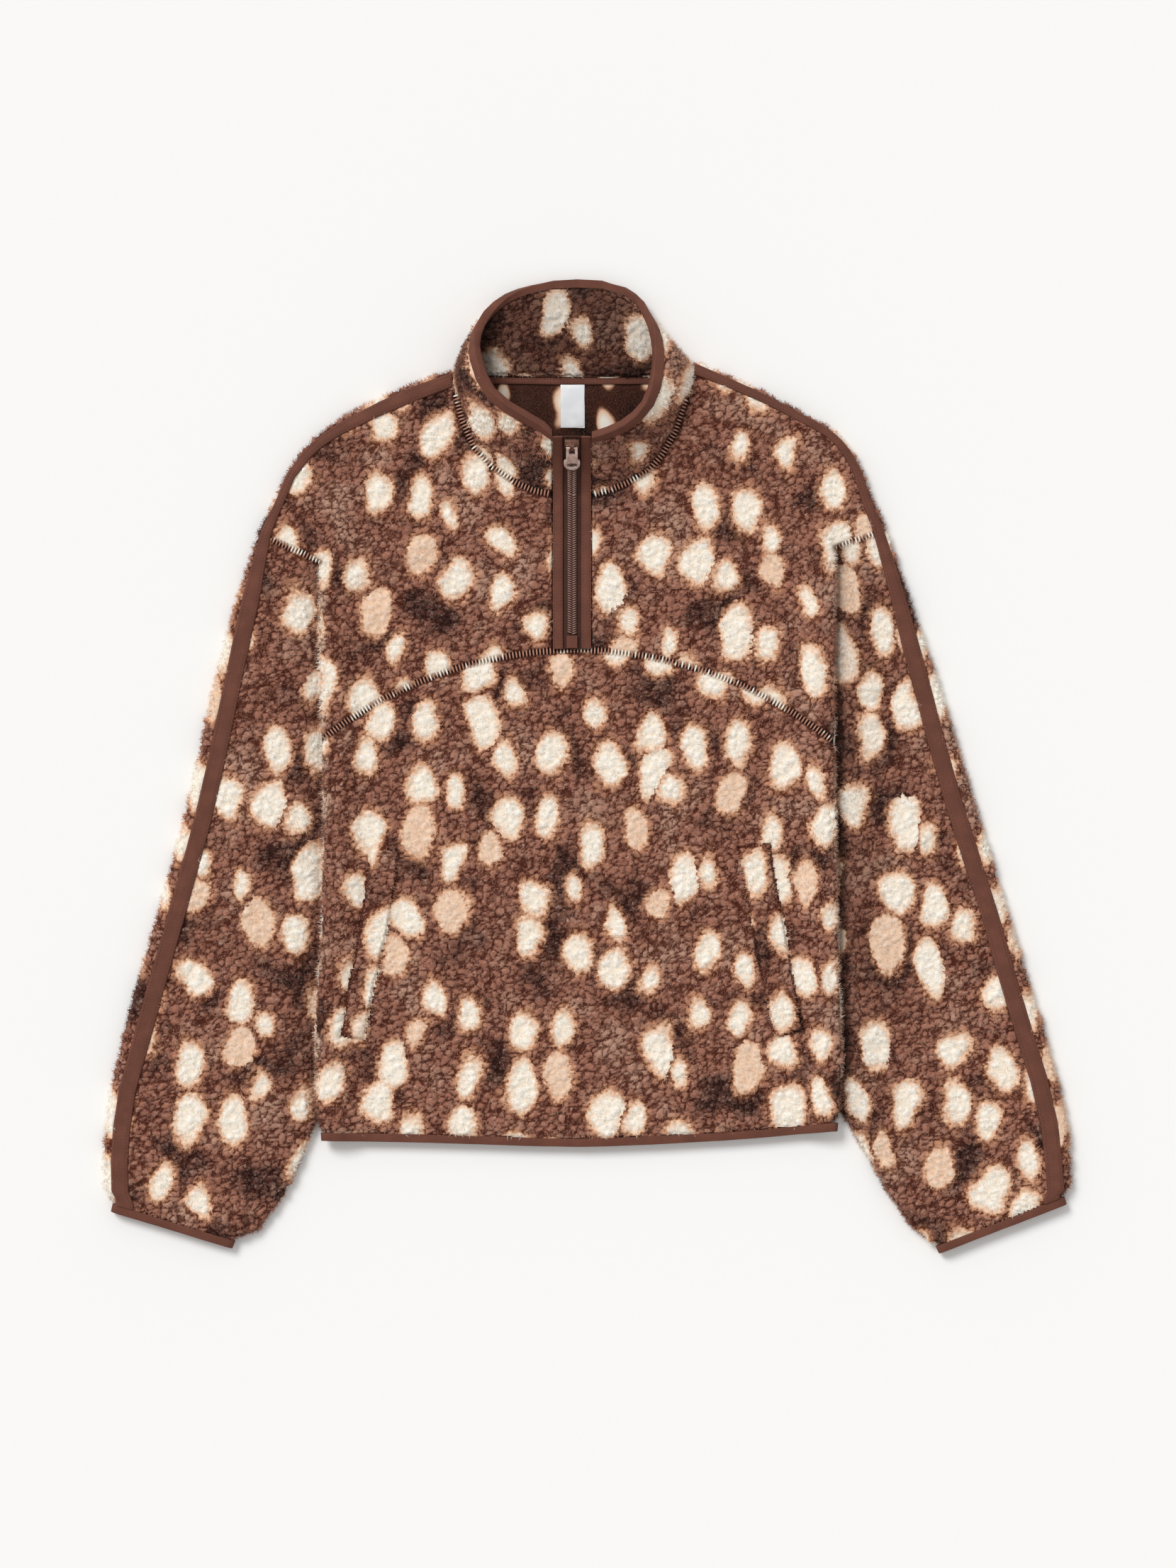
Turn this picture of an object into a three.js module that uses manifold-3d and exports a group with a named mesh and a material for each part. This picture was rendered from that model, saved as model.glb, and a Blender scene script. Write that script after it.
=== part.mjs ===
import * as THREE from 'three';
import { mergeVertices } from 'three/addons/utils/BufferGeometryUtils.js';
import Module from 'manifold-3d';

// A sherpa fleece pullover with a half zip, laid flat on its back. Millimetres.
// +X is to the viewer's right, +Y runs up the body to the collar, +Z is up from the table.
// The origin is under the middle of the garment, on the table.

const wasm = await Module();
wasm.setup();

// Cloth and seams
const WALL = 4.8;            // thickness of the fleece with its pile
const AIR = 1.6;             // mean space between the front and the back where they lie on each other
const NEAR = 0.3;            // gap between two pieces at a seam
const EDGE_HEIGHT = 5.5;     // height of the outermost line of a rolled edge
const ROLL = 8;              // how far in from the edge the roll reaches full height
const CURL = 5;              // how far in the underside of a rolled edge touches down
const EDGE_ROUND = 7;        // rounding of a side edge
const SEAM_DIP = 1.3;        // pile pressed down along a flat seam
const SEAM_REACH = 4.5;
const TAPE_SINK = 2;         // the taped seam lies this far below the pile
const TAPE_HALF = 6.3;       // half the width of the sleeve tape
const TAPE_SHARE = 0.62;     // the tape's half width as a share of the room beside it, where that is less
const TAPE_LIP = 0.6;        // from the tape's edge to the fleece at its full height
const TAPE_THICK = 1.2;
const THIN_TOP = 1.4;        // least thickness of the front under the tape

// Body laid over the inner edges of the sleeves
const LIFT = 5.2;            // the side of the body is raised this far by the sleeve under it
const LIFT_FLAT = 11;        // how far in from its edge the body stays at that height
const LIFT_FALL = 20;        // how far it then takes to come down
const LIFT_BEYOND = 12;      // how far it takes to come down outside the edge
const LIFT_END = { above: 4, reach: 34 };   // where the lift ends above the armhole seam
const EDGE_FREE = 6;         // the side edge is open up to this far below the armhole seam
const EDGE_JOIN = 85;        // how far above that seam the groove between body and sleeve runs out
const SIDE_GAP = { edge: 1.1, reach: 30 };  // space between front and back at the side edge
const LIP = { edge: 2.4, free: 1 };         // thickness left at a rounded edge
const BACK_SKIN = 1.2;
const PRESSED_WALL = 2.2;    // fleece pressed under the body's side

// Bindings
const BIND_WIDTH = 6.5;
const BIND_THICK = 1;
const BIND_FREE = 0.8;       // from the binding's edge to where the cloth starts to open
const BIND_OPEN = 2.2;       // how far the cloth takes to open to its full height
const END_WALL = 2.4;        // fleece pressed inside a binding
const END_MID = { front: 8, back: 2.6 };
const END_RADIUS = 5.2;      // half the height of a bound end
const END_CLEAR = BIND_THICK + NEAR;
const DRAW_IN = 4.8;         // the cloth is drawn in by this much at the ends of a binding

// Zip, centred on its chain
const ZIP_X = -11.5;
const ZIP_HALF = 15.4;       // half the width between the fleece edges
const ZIP_BOTTOM = 97.5;

const ARCH = { x: -8, y: -223.7, radius: 320 };   // seam between yoke and lower front
const ARM_SEAM = { left: 165.8, right: 177.5 };   // height of the armhole seam at the body's side
const HEM_CORNER = -281;

// Side edges of the body, every 60 mm up from y = -290
const EDGE_START = -290;
const EDGE_STEP = 60;
const EDGES = table('left right', [
  [-209.5, 197.5], [-214.3, 201.5], [-210.7, 198.8], [-207.6, 197.4], [-206.9, 196.5],
  [-206.6, 195.0], [-209.0, 194.8], [-209.6, 195.6], [-210.0, 195.7], [-210.5, 195.7], [-211.5, 195.5],
]);

// Lower line of the hem, every 68 mm from x = -210
const HEM_START = -210;
const HEM_STEP = 68;
const HEM = table('y', [[-290], [-291.3], [-293.3], [-295], [-292.5], [-288.5], [-282]]);

// Front neck seam from the zip to the shoulder
const NECK = {
  left: table('x y', [
    [-26.9, 219.4], [-41, 221.8], [-55.5, 228], [-74.3, 240.8], [-88.8, 256.5], [-98.3, 277.8],
    [-103.3, 299],
  ]),
  right: table('x y', [
    [3.9, 219.4], [18.8, 222.9], [31, 227.6], [48.4, 236.9], [60, 251], [70, 268.5], [79, 294],
  ]),
};

// Middle of the tape over the shoulder, and its distance from the outer edge of the garment
const SHOULDER = {
  left: table('x y out', [
    [-105.8, 309.6, 8.3], [-133, 299.5, 8.2], [-160, 288, 7.6], [-186, 275.2, 7], [-211, 259.4, 5.6],
    [-231.5, 236.5, 4.8], [-244, 208, 5],
  ]),
  right: table('x y out', [
    [85.2, 318.3, 6.5], [112, 307.2, 5.2], [140, 294.6, 4.7], [168, 280, 4.4], [195.5, 263.3, 4.3],
    [212, 240, 4.5], [220.6, 213.5, 5],
  ]),
};

// Sleeve sections from the armhole to the cuff: middle of the tape, its distance from the outer edge,
// and the fold at the inner edge
const SLEEVE = {
  left: table('x y out foldX foldY', [
    [-253.5, 186, 6.2, -201.2, 161.2], [-264, 139, 10.5, -200.7, 118], [-273, 98, 13, -200.3, 78],
    [-281.5, 58, 15, -198.5, 38], [-291.5, 10, 15.3, -197.4, -12], [-302.7, -38.6, 15.5, -198, -60],
    [-315, -83, 15.3, -198.6, -105], [-327.6, -128, 15.2, -200, -150], [-340.5, -173, 15.2, -203, -196],
    [-352.8, -218, 15, -207, -241], [-362, -251, 13.5, -214.5, -277], [-366.3, -280, 13, -226, -307],
    [-368.2, -307, 13.3, -241.5, -337], [-367.6, -330, 12.5, -258.5, -360],
    [-366, -349, 10.5, -279, -375.5],
  ]),
  right: table('x y out foldX foldY', [
    [230.5, 189, 6.2, 187.5, 174.3], [244.5, 141.5, 8.5, 186.5, 122], [255, 101.4, 11, 186, 81],
    [266, 61.6, 13.2, 185.6, 41], [275.5, 25, 15, 186, 3], [289, -23, 16, 187, -46],
    [303, -67, 15.5, 188, -91], [317.2, -110.3, 14.5, 188.7, -136], [331.2, -160, 15, 190.5, -186],
    [345, -206, 15.5, 193, -232], [356, -241, 15, 200, -267], [364.6, -277, 15, 219, -297],
    [368, -308, 14, 237, -329], [369.6, -329, 12.5, 255.5, -357], [369.4, -344, 11, 277.5, -379.5],
  ]),
};
const PRESS_RISE = { left: 7, right: 13 };   // how fast the sleeve swells beside the body

// Collar sections from the left of the zip round the back to its right. Each is a bent line up the
// outside of the collar: at the neck seam, at its middle control point, and at the bound top edge.
const COLLAR = table('neckX neckY neckZ midX midY midZ topX topY topZ', [
  [-26.9, 219.8, 11.2, -26.9, 246, 22, -26.9, 262.8, 50],
  [-40.8, 222.2, 11.2, -37, 247, 22, -35, 270, 50],
  [-55.2, 228.4, 11.2, -50, 251, 22, -46, 276.6, 49.5],
  [-74, 241.2, 11.2, -69, 259, 22, -62, 286.5, 48.5],
  [-88.4, 256.8, 11.2, -84, 272, 22, -75.5, 298, 47],
  [-97.9, 278, 11, -96, 290, 23, -83.5, 312.5, 44],
  [-102.9, 299, 10, -103, 306, 24, -87.5, 329, 39],
  [-104.9, 311, 8, -103, 322, 20, -88, 345.5, 31],
  [-101.5, 318.3, 4.4, -95, 338, 9, -80.5, 363.5, 19],
  [-84, 315.2, 0.6, -75, 344, 0.2, -64.5, 377.6, 9],
  [-60, 313.8, 0.2, -52, 349, 0, -44, 384.8, 3],
  [-34, 313.4, 0.2, -30, 350, 0, -26.5, 388.2, 1.4],
  [-10, 313.3, 0.2, -9, 351, 0, -7.5, 389.2, 1.2],
  [16, 313.4, 0.2, 13, 350, 0, 12.5, 388.2, 1.4],
  [42, 314, 0.2, 36, 348, 0, 31, 383, 3],
  [66, 315.8, 0.6, 56, 343, 0.4, 45.5, 371.5, 9],
  [81, 321.5, 4.4, 71, 338, 10, 52.3, 353.5, 20],
  [84.1, 315.5, 8, 78.5, 326, 22, 54, 335, 31],
  [80.6, 300, 10, 82.5, 311, 27, 53, 318, 39],
  [77, 285, 11, 80, 297, 27, 50.8, 302, 43.5],
  [69.3, 268, 11.2, 71, 281, 25, 46.5, 289, 46.5],
  [59.4, 251.3, 11.2, 58, 266, 23, 39, 278.6, 48.5],
  [47.9, 237.3, 11.2, 45, 255, 22, 29, 270.8, 49.5],
  [30.8, 228, 11.2, 29, 250, 22, 18, 265.4, 50],
  [18.6, 223.3, 11.2, 17, 247, 22, 10, 262.4, 50],
  [3.9, 219.8, 11.2, 3.9, 246, 22, 3.9, 260.8, 50],
]);
const NECKLINE_ROWS = [9, 10, 12, 14, 15];   // sections that the back's neckline follows
const COLLAR_SEAM_THICK = 5.4;   // both fleece layers pressed together at the front neck seam
const COLLAR_THICK = 8.8;
const COLLAR_TOP_THICK = 6.6;
const COLLAR_BIND = 7;
const COLLAR_INSET = 1.5;        // the fleece steps in by this much under the binding

// Pocket welts on the lower front: one edge and the opening edge, from top to bottom
const POCKETS = {
  left: table('innerX innerY outerX outerY', [
    [-147.5, -61, -171, -60], [-151, -90, -175, -90], [-158, -130, -180, -130], [-168, -172, -188, -170],
    [-175, -212, -193, -208],
  ]),
  right: table('innerX innerY outerX outerY', [
    [119.6, -58.8, 145.3, -55.4], [124.6, -84.6, 150.4, -90], [130, -118, 156.6, -119],
    [136, -152.9, 161, -147.3], [148.7, -210, 171, -203],
  ]),
};

const TRIM = 0x6a4032;
const FLEECE = 0x6b4538;
const LABEL = 0xd9d4cf;
const ZIP_CLOTH = 0x5c382c;
const COIL = 0x4a2a20;
const METAL = 0xb98f80;

function table(names, rows) {
  const keys = names.split(' ');
  return rows.map((row) => Object.fromEntries(keys.map((key, k) => [key, row[k]])));
}

function clamp(value, low, high) {
  return Math.min(high, Math.max(low, value));
}

function mix(a, b, t) {
  return a + (b - a) * t;
}

// A plan point a share of the way from a to b
function between(a, b, share) {
  return [mix(a[0], b[0], share), mix(a[1], b[1], share)];
}

function smooth(t) {
  const u = clamp(t, 0, 1);
  return u * u * (3 - 2 * u);
}

// A quarter circle's fall: 1 at the edge, 0 from reach inwards
function roundOff(distance, reach) {
  const u = 1 - clamp(distance / reach, 0, 1);
  return 1 - Math.sqrt(1 - u * u);
}

// A smooth line through the rows of a table, at row number t
function along(rows, t) {
  const last = rows.length - 1;
  const k = clamp(Math.floor(t), 0, last - 1);
  const u = clamp(t, 0, last) - k;
  const result = {};
  for (const key of Object.keys(rows[k])) {
    if (rows[k + 1][key] === undefined) continue;
    const b = rows[k][key];
    const c = rows[k + 1][key];
    const a = k > 0 ? rows[k - 1][key] : 2 * b - c;
    const d = k + 2 <= last ? rows[k + 2][key] : 2 * c - b;
    result[key] = 0.5 * (2 * b + (c - a) * u + (2 * a - 5 * b + 4 * c - d) * u * u
      + (3 * b - a - 3 * c + d) * u * u * u);
  }
  return result;
}

function pickOutline(rows) {
  return rows.map(({ x, y, out }) => ({ x, y, out }));
}

// How far the cloth has opened at a distance from its bound end: 0 inside the binding, 1 clear of it
function opened(end) {
  return smooth((end - BIND_WIDTH - BIND_FREE) / BIND_OPEN);
}

const SIDES = ['left', 'right'];
const OUT = { left: -1, right: 1 };
const TAPE = Object.fromEntries(SIDES.map((side) => [
  side, [...pickOutline(SHOULDER[side]), ...pickOutline(SLEEVE[side])],
]));
const ARMHOLE_ROW = SHOULDER.left.length;
const CREASE_ROW = 4;
const CUFF_ROW = TAPE.left.length - 1;
const BESIDE = 0.05;         // the tape's direction is measured this far to each side, in rows
const UPRIGHT = 0.6;         // over this many rows from the neck the direction turns from straight up

// Point on the tape's middle line with the direction out of the garment
function tapePoint(side, s) {
  const here = along(TAPE[side], s);
  const before = along(TAPE[side], Math.max(0, s - BESIDE));
  const after = along(TAPE[side], Math.min(CUFF_ROW, s + BESIDE));
  let nx = -(after.y - before.y) * OUT[side];
  let ny = (after.x - before.x) * OUT[side];
  if (nx * OUT[side] < 0 && ny < 0) {
    nx = -nx;
    ny = -ny;
  }
  const upright = 1 - smooth(s / UPRIGHT);
  const length = Math.hypot(nx, ny);
  nx = mix(nx / length, 0, upright);
  ny = mix(ny / length, 1, upright);
  const size = Math.hypot(nx, ny);
  return { x: here.x, y: here.y, out: here.out, nx: nx / size, ny: ny / size };
}

function tapeHalf(out) {
  return Math.min(TAPE_HALF, TAPE_SHARE * out);
}

// Values of make at even steps from the first to the last row of a table
function sampled(last, aRow, make) {
  return Array.from({ length: last * aRow + 1 }, (_, k) => make(k / aRow));
}

function foldPoint(side, s) {
  const row = along(SLEEVE[side], s);
  return { x: row.foldX, y: row.foldY };
}

const TAPE_SAMPLES = Object.fromEntries(SIDES.map((side) => [
  side, sampled(CUFF_ROW, 6, (s) => tapePoint(side, s)),
]));
const FOLD_SAMPLES = Object.fromEntries(SIDES.map((side) => [
  side, sampled(SLEEVE[side].length - 1, 4, (s) => foldPoint(side, s)),
]));

// Distance from a point to a sampled line, with the line's own values there
function nearest(samples, x, y) {
  let best = { distance: Infinity };
  for (let k = 0; k + 1 < samples.length; k++) {
    const a = samples[k];
    const b = samples[k + 1];
    const dx = b.x - a.x;
    const dy = b.y - a.y;
    const u = clamp(((x - a.x) * dx + (y - a.y) * dy) / (dx * dx + dy * dy), 0, 1);
    const distance = Math.hypot(x - a.x - u * dx, y - a.y - u * dy);
    if (distance < best.distance) best = { distance, out: a.out + ((b.out ?? 0) - a.out) * u };
  }
  return best;
}

function edgeX(side, y) {
  return along(EDGES, (y - EDGE_START) / EDGE_STEP)[side];
}

function hemY(x) {
  return along(HEM, (x - HEM_START) / HEM_STEP).y;
}

function archY(x) {
  return ARCH.y + Math.sqrt(ARCH.radius ** 2 - (x - ARCH.x) ** 2);
}

// Armhole seam height across the dropped shoulder, from the body's side to the tape
function armholeY(side, x) {
  const inner = edgeX(side, ARM_SEAM[side]);
  const outer = SLEEVE[side][0];
  return mix(ARM_SEAM[side], outer.y, (x - inner) / (outer.x - inner));
}

function sideOf(x) {
  return x < ZIP_X ? 'left' : 'right';
}

// Soft unevenness of the cloth
function ripple(x, y) {
  const calm = smooth((Math.abs(x - ZIP_X) - ZIP_HALF) / 40);
  const slow = 0.6 * Math.sin(x / 62 + 1) * Math.sin(y / 75 + 0.5);
  const quick = 0.35 * Math.sin(x / 48 - y / 60);
  return calm * (slow + quick);
}

function seamDip(x, y) {
  const side = sideOf(x);
  let distance = Math.abs(Math.hypot(x - ARCH.x, y - ARCH.y) - ARCH.radius);
  if (OUT[side] * (x - edgeX(side, y)) > -1) distance = Math.abs(y - armholeY(side, x));
  const neck = nearest(NECK[side], x, y).distance;
  return SEAM_DIP * (1 - smooth(Math.min(distance, neck) / SEAM_REACH));
}

// Heights of the body's back and front cloth at a plan point
function bodyCloth(x, y) {
  const side = sideOf(x);
  const inset = OUT[side] * (edgeX(side, y) - x);
  const reach = Math.abs(inset);
  const above = y - ARM_SEAM[side];
  const raised = 1 - smooth((above - LIFT_END.above) / LIFT_END.reach);
  const fall = inset >= 0 ? smooth((inset - LIFT_FLAT) / LIFT_FALL) : smooth(reach / LIFT_BEYOND);
  const lift = LIFT * raised * (1 - fall);
  const free = 1 - smooth((above + EDGE_FREE) / EDGE_FREE);
  const backWall = WALL - raised * (1 - smooth((reach - 6) / 10));
  const backTop = lift + backWall;
  const backBottom = lift + free * (backWall - BACK_SKIN) * roundOff(inset, CURL);
  const gap = mix(SIDE_GAP.edge, AIR + ripple(x, y), smooth(reach / SIDE_GAP.reach));
  const frontBottom = backTop + gap;
  const groove = 1 - smooth(above / EDGE_JOIN);
  const kept = mix(LIP.edge, LIP.free, free);
  const frontTop = frontBottom + WALL - groove * (WALL - kept) * roundOff(reach, EDGE_ROUND);
  const open = opened(y - hemY(clamp(x, HEM_START, -HEM_START)));
  return {
    backBottom: mix(lift + END_MID.back - END_WALL / 2, backBottom, open),
    backTop: mix(lift + END_MID.back + END_WALL / 2, backTop, open),
    frontBottom: mix(lift + END_MID.front - END_WALL / 2, frontBottom, open),
    frontTop: mix(lift + END_MID.front + END_WALL / 2, frontTop - seamDip(x, y), open),
    lift,
  };
}

// Heights of a sleeve's back and front cloth at a plan point; end is the distance from the cuff
function sleeveCloth(side, x, y, end) {
  const outside = OUT[side] * (x - edgeX(side, y));
  const covered = 1 - smooth((HEM_CORNER + 5 - y) / 14);
  const pressed = covered * (1 - smooth((outside - 1) / PRESS_RISE[side]));
  const wall = mix(WALL, PRESSED_WALL, pressed);
  const fold = nearest(FOLD_SAMPLES[side], x, y).distance;
  const backBottom = 0.8 * (wall - 1) * roundOff(fold, CURL);
  const gap = mix(mix(NEAR, AIR + ripple(x, y), smooth(fold / 25)), NEAR, pressed);
  const frontBottom = wall + gap;
  const dip = y > ARM_SEAM[side] - 60 ? seamDip(x, y) * (1 - pressed) : 0;
  const frontTop = frontBottom + wall - (wall - 0.9) * roundOff(fold, mix(EDGE_ROUND, 3, pressed)) - dip;
  const open = opened(end);
  return {
    backBottom: mix(END_MID.back - END_WALL / 2, backBottom, open),
    backTop: mix(END_MID.back + END_WALL / 2, wall, open),
    frontBottom: mix(END_MID.front - END_WALL / 2, frontBottom, open),
    frontTop: mix(END_MID.front + END_WALL / 2, frontTop, open),
  };
}

// Upper surface of the rolled outer edge: full height beyond the roll
function rollHeight(inset, full) {
  return full - (full - EDGE_HEIGHT) * roundOff(inset, ROLL);
}

// Front cloth top near the tape: it follows the roll, and steps down under the tape
function frontTopByTape(side, x, y, full) {
  const tape = nearest(TAPE_SAMPLES[side], x, y);
  const half = tapeHalf(tape.out);
  const rolled = rollHeight(tape.out + tape.distance, full);
  return tape.distance < half + TAPE_LIP / 2 ? rolled - TAPE_SINK : rolled;
}

// Closed wall between an outer and an inner skin. Every point is a pair: o on the outer skin, i on the
// inner one. Points closer than a step of the grid of keys are one point.
const KEYS_PER_MM = 200;

class Wall {
  constructor() {
    this.pairs = [];
    this.lookup = new Map();
    this.faces = [];
  }

  vertex(pair) {
    const key = [...pair.o, ...pair.i].map((value) => Math.round(value * KEYS_PER_MM)).join(',');
    if (!this.lookup.has(key)) {
      this.lookup.set(key, this.pairs.length);
      this.pairs.push(pair);
    }
    return this.lookup.get(key);
  }

  // Adds a grid of pairs, turned so that its outer skin faces away from its inner skin
  grid(rows, closed = false) {
    const ids = rows.map((row) => row.map((pair) => this.vertex(pair)));
    if (closed) ids.push(ids[0]);
    const cells = [];
    for (let r = 0; r + 1 < ids.length; r++) {
      for (let c = 0; c + 1 < ids[r].length; c++) {
        cells.push([ids[r][c], ids[r][c + 1], ids[r + 1][c + 1]]);
        cells.push([ids[r][c], ids[r + 1][c + 1], ids[r + 1][c]]);
      }
    }
    let agreement = 0;
    for (const face of cells) {
      const [a, b, c] = face.map((id) => new THREE.Vector3(...this.pairs[id].o));
      const normal = b.clone().sub(a).cross(c.clone().sub(a));
      const away = a.clone().sub(new THREE.Vector3(...this.pairs[face[0]].i));
      agreement += normal.dot(away);
    }
    for (const face of cells) {
      const [a, b, c] = agreement > 0 ? face : [face[0], face[2], face[1]];
      if (a !== b && b !== c && c !== a) this.faces.push([a, b, c]);
    }
  }

  geometry() {
    const count = this.pairs.length;
    const edges = new Set();
    for (const [a, b, c] of this.faces) {
      for (const edge of [[a, b], [b, c], [c, a]]) {
        if (edges.has(edge.join('>'))) throw new Error('a grid is turned the wrong way');
        edges.add(edge.join('>'));
      }
    }
    const triangles = [];
    for (const [a, b, c] of this.faces) {
      triangles.push([a, b, c], [a + count, c + count, b + count]);
      for (const [p, q] of [[a, b], [b, c], [c, a]]) {
        if (!edges.has(`${q}>${p}`)) triangles.push([p, p + count, q + count], [p, q + count, q]);
      }
    }
    const positions = [...this.pairs.map((pair) => pair.o), ...this.pairs.map((pair) => pair.i)].flat();
    const geometry = new THREE.BufferGeometry();
    geometry.setAttribute('position', new THREE.Float32BufferAttribute(positions, 3));
    geometry.setIndex(triangles.flat());
    return geometry;
  }
}

const group = new THREE.Group();

function addMesh(name, geometry, color, roughness = 0.95, metalness = 0) {
  const mesh = new THREE.Mesh(geometry, new THREE.MeshStandardMaterial({ color, roughness, metalness }));
  mesh.name = name;
  group.add(mesh);
  return mesh;
}

function addWall(name, grids, color, closed = false) {
  const wall = new Wall();
  for (const rows of grids) wall.grid(rows, closed);
  addMesh(name, wall.geometry(), color);
}

function frontPair(x, y) {
  const cloth = bodyCloth(x, y);
  return { o: [x, y, cloth.frontTop], i: [x, y, cloth.frontBottom] };
}

function backPair(x, y) {
  const cloth = bodyCloth(x, y);
  return { o: [x, y, cloth.backBottom], i: [x, y, cloth.backTop] };
}

const NECK_SHIFT = { front: 0.6, back: 0.3 };   // the first stop keeps clear of the neck seam

// Shared stops over the shoulder, from the neck to the armhole, counted in rows of its table
const STOPS = [0, 1, 2, 3, 3.4, 3.7, 3.85, 3.94, 4, 4.05, 4.1, 4.2, 4.5, 5.1, 5.8, 6.4, 6.8, 7];
const CREASE_STOP = STOPS.indexOf(CREASE_ROW);

// Columns across the body: distances in from each side edge, with even steps between
const SIDE_STEPS = [0, 1.4, 3.8, 7.5, 14, 30];
const MIDDLE_COLUMNS = 11;

function bodyColumns(y) {
  const left = edgeX('left', y);
  const right = edgeX('right', y);
  const reach = SIDE_STEPS.at(-1);
  const middle = [];
  for (let k = 1; k <= MIDDLE_COLUMNS; k++) {
    middle.push(mix(left + reach, right - reach, k / (MIDDLE_COLUMNS + 1)));
  }
  const fromRight = [...SIDE_STEPS].reverse();
  return [...SIDE_STEPS.map((step) => left + step), ...middle, ...fromRight.map((step) => right - step)];
}

// A row of plan points at a height above the hem's end, drawn in inside the hem binding
const HEM_HEIGHTS = [0, 5.8, 8.4, 14];
const DRAW_REACH = 20;

function hemRow(height) {
  const columns = bodyColumns(EDGE_START + height);
  return columns.map((x) => {
    const y = hemY(clamp(x, HEM_START, -HEM_START)) + END_CLEAR + height;
    const side = sideOf(x);
    const inset = OUT[side] * (edgeX(side, y) - x);
    const shut = 1 - opened(height + END_CLEAR);
    return [x - OUT[side] * DRAW_IN * shut * (1 - smooth(inset / DRAW_REACH)), y];
  });
}

// Rows of the lower front between the hem and the arch, as shares of the way up, and below the arch
const LOWER_SHARES = [0.14, 0.3, 0.47, 0.64, 0.8, 0.93];
const ARCH_ROWS = [SEAM_REACH, 2, 0];
const BODY_LEVEL = 60;       // the columns of the arch stand where they cross this height

function lowerFront() {
  const rows = HEM_HEIGHTS.map(hemRow);
  const start = rows.at(-1);
  const top = (x) => archY(x) - NEAR / 2;
  for (const share of LOWER_SHARES) {
    rows.push(start.map(([, low], c) => {
      const y = mix(low, top(start[c][0]), share);
      return [bodyColumns(y)[c], y];
    }));
  }
  for (const reach of ARCH_ROWS) {
    rows.push(start.map((_, c) => {
      const x = bodyColumns(BODY_LEVEL)[c];
      return [x, top(x) - reach];
    }));
  }
  addWall('front_body', [rows.map((row) => row.map(([x, y]) => frontPair(x, y)))], FLEECE);
}

// A stop on the tape's line, and the point a step in from it
function stepIn(side, s, step, shift = 0) {
  const tape = tapePoint(side, s);
  return [tape.x - tape.nx * step, tape.y - tape.ny * step + shift];
}

function yokePair([x, y]) {
  const side = sideOf(x);
  const cloth = bodyCloth(x, y);
  const top = frontTopByTape(side, x, y, cloth.frontTop);
  return { o: [x, y, top], i: [x, y, Math.min(cloth.frontBottom, top - THIN_TOP)] };
}

// Rows above the armhole's level, where the raised side of the body comes down
const CREASE_RISES = [NEAR / 2, 4, 15, 26, 38];
const CREASE_SHARES = [0.4, 0.75];
const SEAM_STEPS = [SEAM_REACH, 2, NEAR / 2];   // rows beside a seam, by their distance from it
const YOKE_RUNGS = [0.27, 0.52, 0.77];
const SPREAD = 0.9;          // the columns stand a little closer together beside the zip
const LOW_SHARE = 0.75;      // the crease starts no higher than this share of a column
const CREASE_ROOM = 12;
const DROP_SHARES = [0.08, 0.25, 0.6];          // columns over the dropped shoulder

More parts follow.
